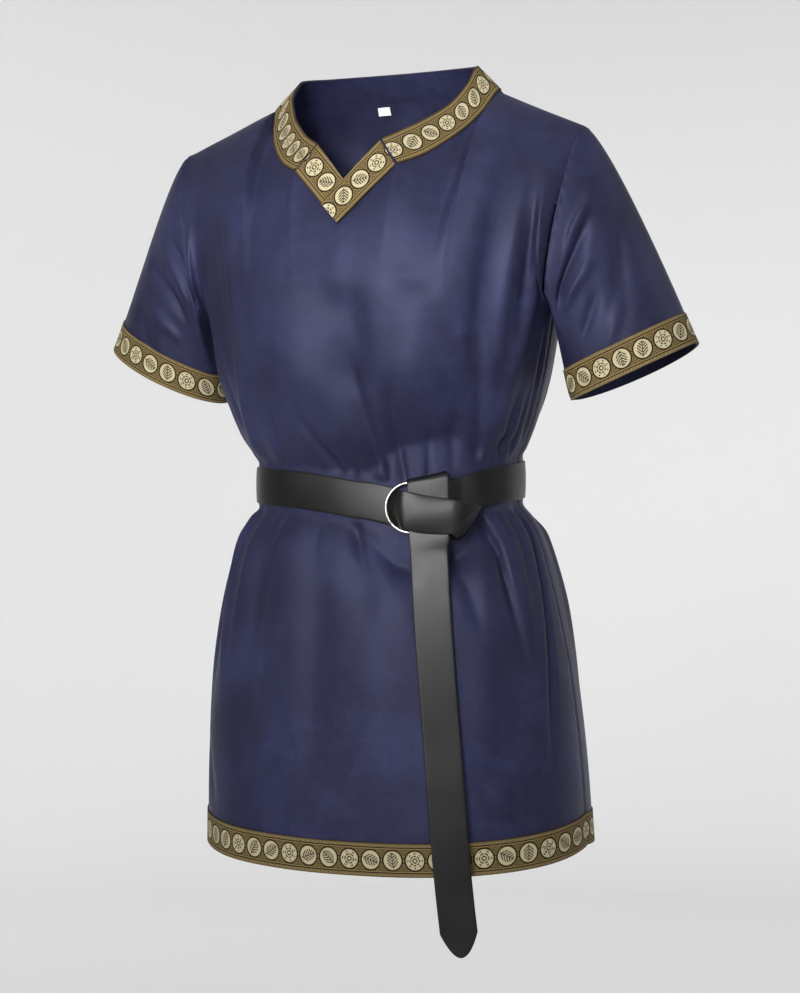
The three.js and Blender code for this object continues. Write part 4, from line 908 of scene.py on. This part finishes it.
RIGHT_SLIT = [(-33.4, -67.6), (3.2, -110.8), (-54, -95.2), (-7, -144.8)]
LEFT_SLIT = [(33.4, -67.6), (-20.5, -131.1), (54, -95.2), (0, -152)]
for name, corners_at, layers in [("right", RIGHT_SLIT, (0, 0)), ("left", LEFT_SLIT, (0.1, 1.15))]:
    rows, uv = slit_strip(corners_at, layers, name == "left")
    keep(wall(f"{name}_slit_ribbon", rows, RIBBON, WOVEN, uv=uv),
                             f"slit_ribbon_{name}")

# The bare size tab.
x, drop = np.meshgrid(TAB["x"] + TAB["wide"] / 2 * np.linspace(1, -1, 13), np.linspace(1, 0, 11))
tab_level = TOP - TAB["below"] - drop * TAB["high"] * TAB["stretch"]
on_back, normal = cloth(BACK, np.sign(x) * turn_at(np.abs(x)), tab_level)
off = CLOTH / 2 + 3 * SEAM + TAB["thick"] / 2 + TAB["free"] * ease(drop) ** 2
tab_rows = on_back - normal * off[..., None]
size_tab = keep(wall("bare_size_tab", tab_rows, TAB["tape"], TAPE), "size_tab")

# The belt. Its line is the cloth's outside at the waist, with the distance along it from the ring.
round_turn = np.linspace(-180, 180, 1441)
front_part = np.abs(round_turn) <= 90
panel_turn = np.where(front_part, round_turn, np.where(round_turn < 0, -180, 180) - round_turn)
waist = np.where(front_part[:, None], *(lower(side, panel_turn, BELT_LEVEL) for side in (FRONT, BACK)))
waist[:, 1] += np.where(front_part, SEAM, -SEAM)
steps = np.diff(waist[:, :2], axis=0)
waist_along = np.concatenate([[0], np.cumsum(np.linalg.norm(steps, axis=1))])
waist_way = unit(np.gradient(waist[:, :2], axis=0))
waist_along -= np.interp(RING["turn"], round_turn, waist_along)
WAIST_LENGTH = waist_along[-1] - waist_along[0]


def round_waist(across):
    """The distance along the waist's line, brought within one round of it."""
    return waist_along[0] + (np.asarray(across, float) - waist_along[0]) % WAIST_LENGTH


def belt_place(across, height, out):
    """A place on the belt: the waist's line moved out from the cloth."""
    at = round_waist(across)
    x, y = (np.interp(at, waist_along, waist[:, k]) for k in (0, 1))
    way_x, way_y = (np.interp(at, waist_along, waist_way[:, k]) for k in (0, 1))
    lift = CLOTH / 2 + out
    return point(x + lift * way_y, y - lift * way_x, height)


def line_up(across):
    """The height of the belt's middle line over the ring's centre."""
    return np.interp(round_waist(across), waist_along, waist[:, 2]) - RING["z"]


ring_middle = belt_place(0, RING["z"], RING["out"])
way = unit(ring_middle - belt_place(0, RING["z"], 0))
tilt = -np.radians(RING["tilt"])
c, s = np.cos(tilt), np.sin(tilt)
ring_out = np.array([way[0] * c - way[1] * s, way[0] * s + way[1] * c, 0])
ring_across = np.array([-ring_out[1], ring_out[0], 0])


def plane_out(across):
    """How far the ring's plane stands out from the cloth."""
    base = belt_place(across, RING["z"], 0)
    return ((ring_middle - base) @ ring_out) / ((belt_place(across, RING["z"], 1) - base) @ ring_out)


STRAP_POINTS = np.array([-1, -0.985, -0.95, -0.85, -0.6, -0.3, 0, 0.3, 0.6, 0.85, 0.95, 0.985, 1])
EDGE = np.array([0.45, 0.78, 0.96, 1, 1, 1, 1, 1, 1, 1, 0.96, 0.78, 0.45])


def strap_cut(across, up, slope=90.0, half=STRAP_WIDE / 2, out=None, depth=None, shift=None, swell=0.0):
    """A cut across the strap: a line of points at a slope, out from the cloth or, by depth, from the
    ring's plane, rounded outwards by swell along a parabola."""
    raised = swell * (1 - STRAP_POINTS ** 2)
    a = across + STRAP_POINTS * half * np.cos(np.radians(slope))
    u = up + STRAP_POINTS * half * np.sin(np.radians(slope))
    aside, rise = shift(a, u) if shift else (0, 0)
    if depth is not None:
        return (ring_middle + (a + aside)[:, None] * ring_across + depth * ring_out
                + (u + rise)[:, None] * np.array([0, 0, 1]))
    distance = (out(a, u) if callable(out) else out) + raised
    return belt_place(a + aside, RING["z"] + u + rise, distance)


def arc_at(u):
    """How far across the ring's wire is at a height inside it."""
    return np.sqrt(RING["radius"] ** 2 - np.minimum(np.abs(u), RING["radius"] - 3) ** 2)


# Where the strap has risen through the ring, across from its centre.
RISEN = -5.4


def through_ring(across, u):
    """Out from the cloth as the strap rises through the ring: an S curve."""
    start = -arc_at(u) + RING["wire"] + 3 * SEAM
    return mix(STRAP_OUT, plane_out(across) + WRAP_DEPTH, ease((across - start) / (RISEN - start)))


# How far past the ring the strap stands off, and where the layer behind the belt ends.
EYE_END = dict(taut=44, step=66, step_over=28)


def after_eye(across, u):
    """Out from the cloth as the strap leaves the ring's eye: a parabola, then a step down."""
    high = plane_out(RING["radius"]) + EYE - STRAP_OUT
    taut = STRAP_OUT + high * np.maximum(0, 1 - (across - RING["radius"]) / EYE_END["taut"]) ** 2
    step = 1 - ease((across - EYE_END["step"]) / EYE_END["step_over"])
    return np.maximum(taut, STRAP_OUT + NEXT_LAYER * step)


# Where the wrap leaves the hanging end, and over what distance it comes down.
TAIL_SIDE, WRAP_DOWN = 42, 30


def wrap_out(across, u=0):
    """Out from the cloth over the hanging end, then an S curve down to the lower fold."""
    over = plane_out(np.minimum(across, TAIL_SIDE)) + WRAP_DEPTH
    return mix(over, LOW_FOLD_OUT, ease((across - TAIL_SIDE) / WRAP_DOWN))


def heading(degrees, distance):
    """Across and up of a step in a direction."""
    return distance * np.cos(np.radians(degrees)), distance * np.sin(np.radians(degrees))


def fold_cuts(fold_at, front_out, turn, way_round):
    """The cuts of a strap turning over at a fold: half a circle between its two layers."""

    def bend(a):
        return (front_out(a) - STRAP_OUT) / 2

    return [
        strap_cut(**fold_at, out=lambda a, u, k=angle: STRAP_OUT + bend(a) * (1 - way_round * np.cos(k)),
                  shift=lambda a, u, k=angle: heading(fold_at["slope"] + turn, bend(a) * np.sin(k)))
        for angle in np.radians(np.linspace(8, 180, 16))
    ]


def behind(share):
    """The strap behind the belt between the two folds, mixed from their values."""
    return strap_cut(**{key: mix(LOW_FOLD[key], HIGH_FOLD[key], share) for key in LOW_FOLD}, out=STRAP_OUT)


def wrap_up(across):
    """The wrap's slope in front of the ring."""
    return WRAP_UP - across * np.tan(np.radians(WRAP_SLOPE))


# In the ring's eye the strap's half width, and how far across it leaves the ring's curve and the
# ring's height; then its roundness, and where it turns towards the wrap.
IN_EYE = STRAP_WIDE / 2 - 1.3
EYE_LEAVES = dict(arc=40, arc_over=14, line=20, line_over=20)
ROUNDED, WRAP_ROUNDED = 0.8, 1.8
JOIN = dict(start=-62, over=30)


def belt_round():
    """The strap from the eye on the ring's right side, round the body, up through the ring, over the
    front to the lower fold and behind the belt."""

    def on_arc(share):
        return lambda a, u: (share * (arc_at(u) - RING["radius"]), 0)

    # Places across are in millimetres from the ring's centre.
    inner = plane_out(RING["radius"]) - EYE
    cuts = [strap_cut(35, line_up(35) / 2, out=inner - SEAM, shift=on_arc(0.3)),
            strap_cut(30, 0, out=inner, shift=on_arc(0.7))]
    for angle in np.linspace(-90, -270, 19):
        aside, depth = heading(angle, EYE)
        cuts.append(strap_cut(RING["radius"] + aside, 0, half=IN_EYE, depth=depth, shift=on_arc(1)))
    for across in np.concatenate([np.arange(29, 60, 3), np.arange(60, 118, 5)]):
        up = line_up(across) * ease((across - EYE_LEAVES["line"]) / EYE_LEAVES["line_over"])
        on_ring = max(0, (EYE_LEAVES["arc"] - across) / EYE_LEAVES["arc_over"])
        cuts.append(strap_cut(across, up, out=after_eye, shift=on_arc(on_ring)))
    for across in np.arange(122, WAIST_LENGTH - 54, 5):
        swell = min(ROUNDED, (across - 118) / 60)
        cuts.append(strap_cut(across, line_up(across), out=STRAP_OUT, swell=swell))
    for across in np.concatenate([np.arange(-48, -26, 3.5), np.arange(-25, 14, 2)]):
        join = ease((across - JOIN["start"]) / JOIN["over"])
        cuts.append(strap_cut(across, mix(line_up(across), wrap_up(across), join),
                              mix(90, 90 - WRAP_SLOPE, join), out=through_ring if across < 0 else wrap_out,
                              swell=ROUNDED + WRAP_ROUNDED * ease((across + 12) / 22)))
    for share in np.linspace(0.08, 1, 13):
        cuts.append(strap_cut(mix(13, LOW_FOLD["across"], share), mix(wrap_up(13), LOW_FOLD["up"], share),
                              mix(90 - WRAP_SLOPE, LOW_FOLD["slope"], share),
                              mix(STRAP_WIDE / 2, LOW_FOLD["half"], share), out=wrap_out,
                              swell=(ROUNDED + WRAP_ROUNDED) * (1 - share ** 2)))
    cuts += [*fold_cuts(LOW_FOLD, wrap_out, -90, -1), behind(0.1), behind(0.2), behind(0.4)]
    return np.stack(cuts, axis=1)


# The hanging end's cuts under the wrap: across, up and slope. Then how far above the hem's ribbon it
# starts to lift, over what distance, and how far below the hem it still follows the cloth.
UNDER_WRAP = [(17.1, 14, 6), (17.2, 0, 2), (17.3, -16, -3), (17.6, -31, -6)]
OVER_HEM = dict(above=40, over=30, last=14)


def skirt_reach(middle, sideways, out, height):
    """How far the cloth stands out behind the hanging end at a height."""
    turn = np.linspace(0, 75, 151)
    dip = lower(FRONT, turn, height)[:, 2] - height
    away = cloth(FRONT, turn, np.clip(height - dip, HEM, BELT_LEVEL))[0] - middle
    near = np.abs(away @ sideways) <= STRAP_WIDE / 2 + 4
    return max(0, (away @ out)[near].max(initial=0))


def belt_tail():
    """The hanging end: behind the belt, over its top edge, down under the wrap and past the hem."""

    def tail_out(a, u=0):
        return plane_out(a) + TAIL_DEPTH

    cuts = [*(behind(share) for share in (0.41, 0.6, 0.8, 1)), *fold_cuts(HIGH_FOLD, tail_out, 90, 1)]
    cuts += [strap_cut(*cut, out=tail_out) for cut in UNDER_WRAP]
    knot = cuts[-1][len(STRAP_POINTS) // 2]
    sideways = unit((cuts[-1][-1] - cuts[-1][0]) * np.array([1, 1, 0]))
    out = np.array([sideways[1], -sideways[0], 0])
    lean = (TAIL[1][1] - TAIL[0][1]) / (TAIL[1][0] - TAIL[0][0])
    stops = np.concatenate([np.linspace(-470, -770, 31), np.arange(-780, TIP + TAIL_POINT, -10),
                            TIP + TAIL_POINT * np.linspace(1, 0, 12) ** 1.5])
    xs = read(TAIL, stops)
    flat = [np.array([x, knot[1] + (x - knot[0]) * sideways[1] / sideways[0], z]) for z, x in zip(stops, xs)]
    reach = []
    for z, middle in zip(stops, flat):
        lift = ease((HEM + RIBBON_WIDE + OVER_HEM["above"] - z) / OVER_HEM["over"]) * (RIBBON + SEAM)
        reach.append(skirt_reach(middle, sideways, out, max(z, HEM - OVER_HEM["last"])) + lift)
    # The strap is stiffer than the cloth, so it bridges the small folds: the reach's upper envelope.
    reach = np.array(reach)
    window = np.array([reach[max(0, i - 3):i + 4].max() for i in range(len(reach))])
    window = np.convolve(np.pad(window, 2, "edge"), np.ones(5) / 5, "valid")
    for z, middle, stand in zip(stops, flat, np.maximum(window, reach)):
        middle = middle + out * (stand + CLOTH / 2 + SEAM + STRAP / 2)
        half = STRAP_WIDE / 2 * np.sqrt(np.clip((z - TIP) / TAIL_POINT, 0.004, 1))
        cut = middle + (STRAP_POINTS * half)[:, None] * sideways
        cut[:, 2] = z - STRAP_POINTS * half * lean
        cuts.append(cut)
    return np.stack(cuts, axis=1)


thick = STRAP * EDGE[:, None]
keep(wall("strap_round_waist", belt_round(), thick, LEATHER), "belt_round")
keep(wall("strap_hanging_end", belt_tail(), thick, LEATHER), "belt_tail")


def ring_wire():
    """The ring: a circle carried round a larger circle in the ring's plane."""
    around, across = (np.linspace(0, 2 * np.pi, count, endpoint=False) for count in (120, 20))
    u, v = np.meshgrid(around, across)
    spoke = np.cos(u)[..., None] * ring_across + np.sin(u)[..., None] * np.array([0, 0, 1])
    points = (ring_middle + spoke * (RING["radius"] + RING["wire"] * np.cos(v))[..., None]
              + ring_out * (RING["wire"] * np.sin(v))[..., None])
    quads, row, column = tube_faces(20, 120, 20)
    return fill("strap_ring", points.reshape(-1, 3), quads, np.stack([column, row], axis=-1) * 1.2, NICKEL)


keep(ring_wire(), "belt_ring")

# Studio: a white bowl all round, soft light from the left and a weaker fill from the right.


def bowl():
    """A floor that turns up into a wall: a profile of radius and height spun round the Z axis."""
    turn = np.linspace(0, np.pi / 2, 12)
    radius = np.concatenate([[0.01, 2, 4], 4 + 2 * np.sin(turn), [6]])
    height = np.concatenate([[0, 0, 0], 2 - 2 * np.cos(turn), [9]]) - 1.5
    angle = np.linspace(0, 2 * np.pi, 96, endpoint=False)
    u, r = np.meshgrid(angle, radius)
    _, z = np.meshgrid(angle, height)
    points = point(r * np.cos(u), r * np.sin(u), z).reshape(-1, 3) / MM
    quads = tube_faces(len(radius) - 1, len(angle), len(radius))[0][:, ::-1]
    material, add = new_material("white_paper")
    finish_material(add, **{"Base Color": linear("D4D4D4"), "Roughness": 1.0, "Specular IOR Level": 0.0})
    return fill("studio_bowl", points, quads, np.zeros((len(quads), 4, 2)), material)


bowl()


def lamp(name, place, aim, size, power, spread=180):
    """A square area lamp aimed at a point, its light spread over a cone."""
    data = bpy.data.lights.new(name, "AREA")
    data.shape, data.size, data.energy, data.spread = "SQUARE", size, power, np.radians(spread)
    light = bpy.data.objects.new(name, data)
    towards = unit(np.array(aim, float) - np.array(place, float))
    light.location = place
    light.rotation_euler = (np.arccos(-towards[2]), 0, np.arctan2(-towards[0], towards[1]))
    bpy.context.scene.collection.objects.link(light)


lamp("key", (-0.4, -2.5, -0.12), (0, 0, -0.5), 0.9, 35)
lamp("collar", (0.25, -2.2, 0.2), (0, 0.09, -0.08), 0.5, 1.9, 34)
lamp("strip", (-1.9, -1.7, 0.0), (0, 0, -0.4), 0.5, 2.5)
lamp("top", (0.3, -2.0, 2.2), (0, 0, -0.35), 1.0, 9.5)
lamp("fill", (2.3, -2.2, 0.0), (0, 0, -0.55), 1.4, 10)
lamp("rim", (2.4, 0.9, 0.9), (0.1, 0, -0.3), 0.8, 4)
lamp("wall_left", (-3.4, 0.9, 1.6), (-1.7, 6, -0.8), 2.4, 74, 140)
lamp("wall_right", (3.4, 0.9, 1.6), (-0.5, 6, -1.2), 2.4, 97, 118)

world = bpy.data.worlds.new("studio")
world.use_nodes = True
world.node_tree.nodes["Background"].inputs[0].default_value = (1, 1, 1, 1)
world.node_tree.nodes["Background"].inputs[1].default_value = 0.4
bpy.context.scene.world = world
bpy.context.scene.view_settings.view_transform = "Standard"

# The photograph's view: 23 degrees round to the wearer's left, 2.2 m away and level.
YAW, RISE, AWAY, HEIGHT = np.radians(22.99), np.radians(0.627), 2.2, -0.4422
camera_data = bpy.data.cameras.new("camera")
camera_data.sensor_width, camera_data.lens, camera_data.shift_x = 36, 77.85, 0.0205
camera = bpy.data.objects.new("camera", camera_data)
camera.location = (AWAY * np.sin(YAW), -AWAY * np.cos(YAW), HEIGHT)
camera.rotation_euler = (np.pi / 2 + RISE, 0, YAW)
bpy.context.scene.collection.objects.link(camera)
bpy.context.scene.camera = camera
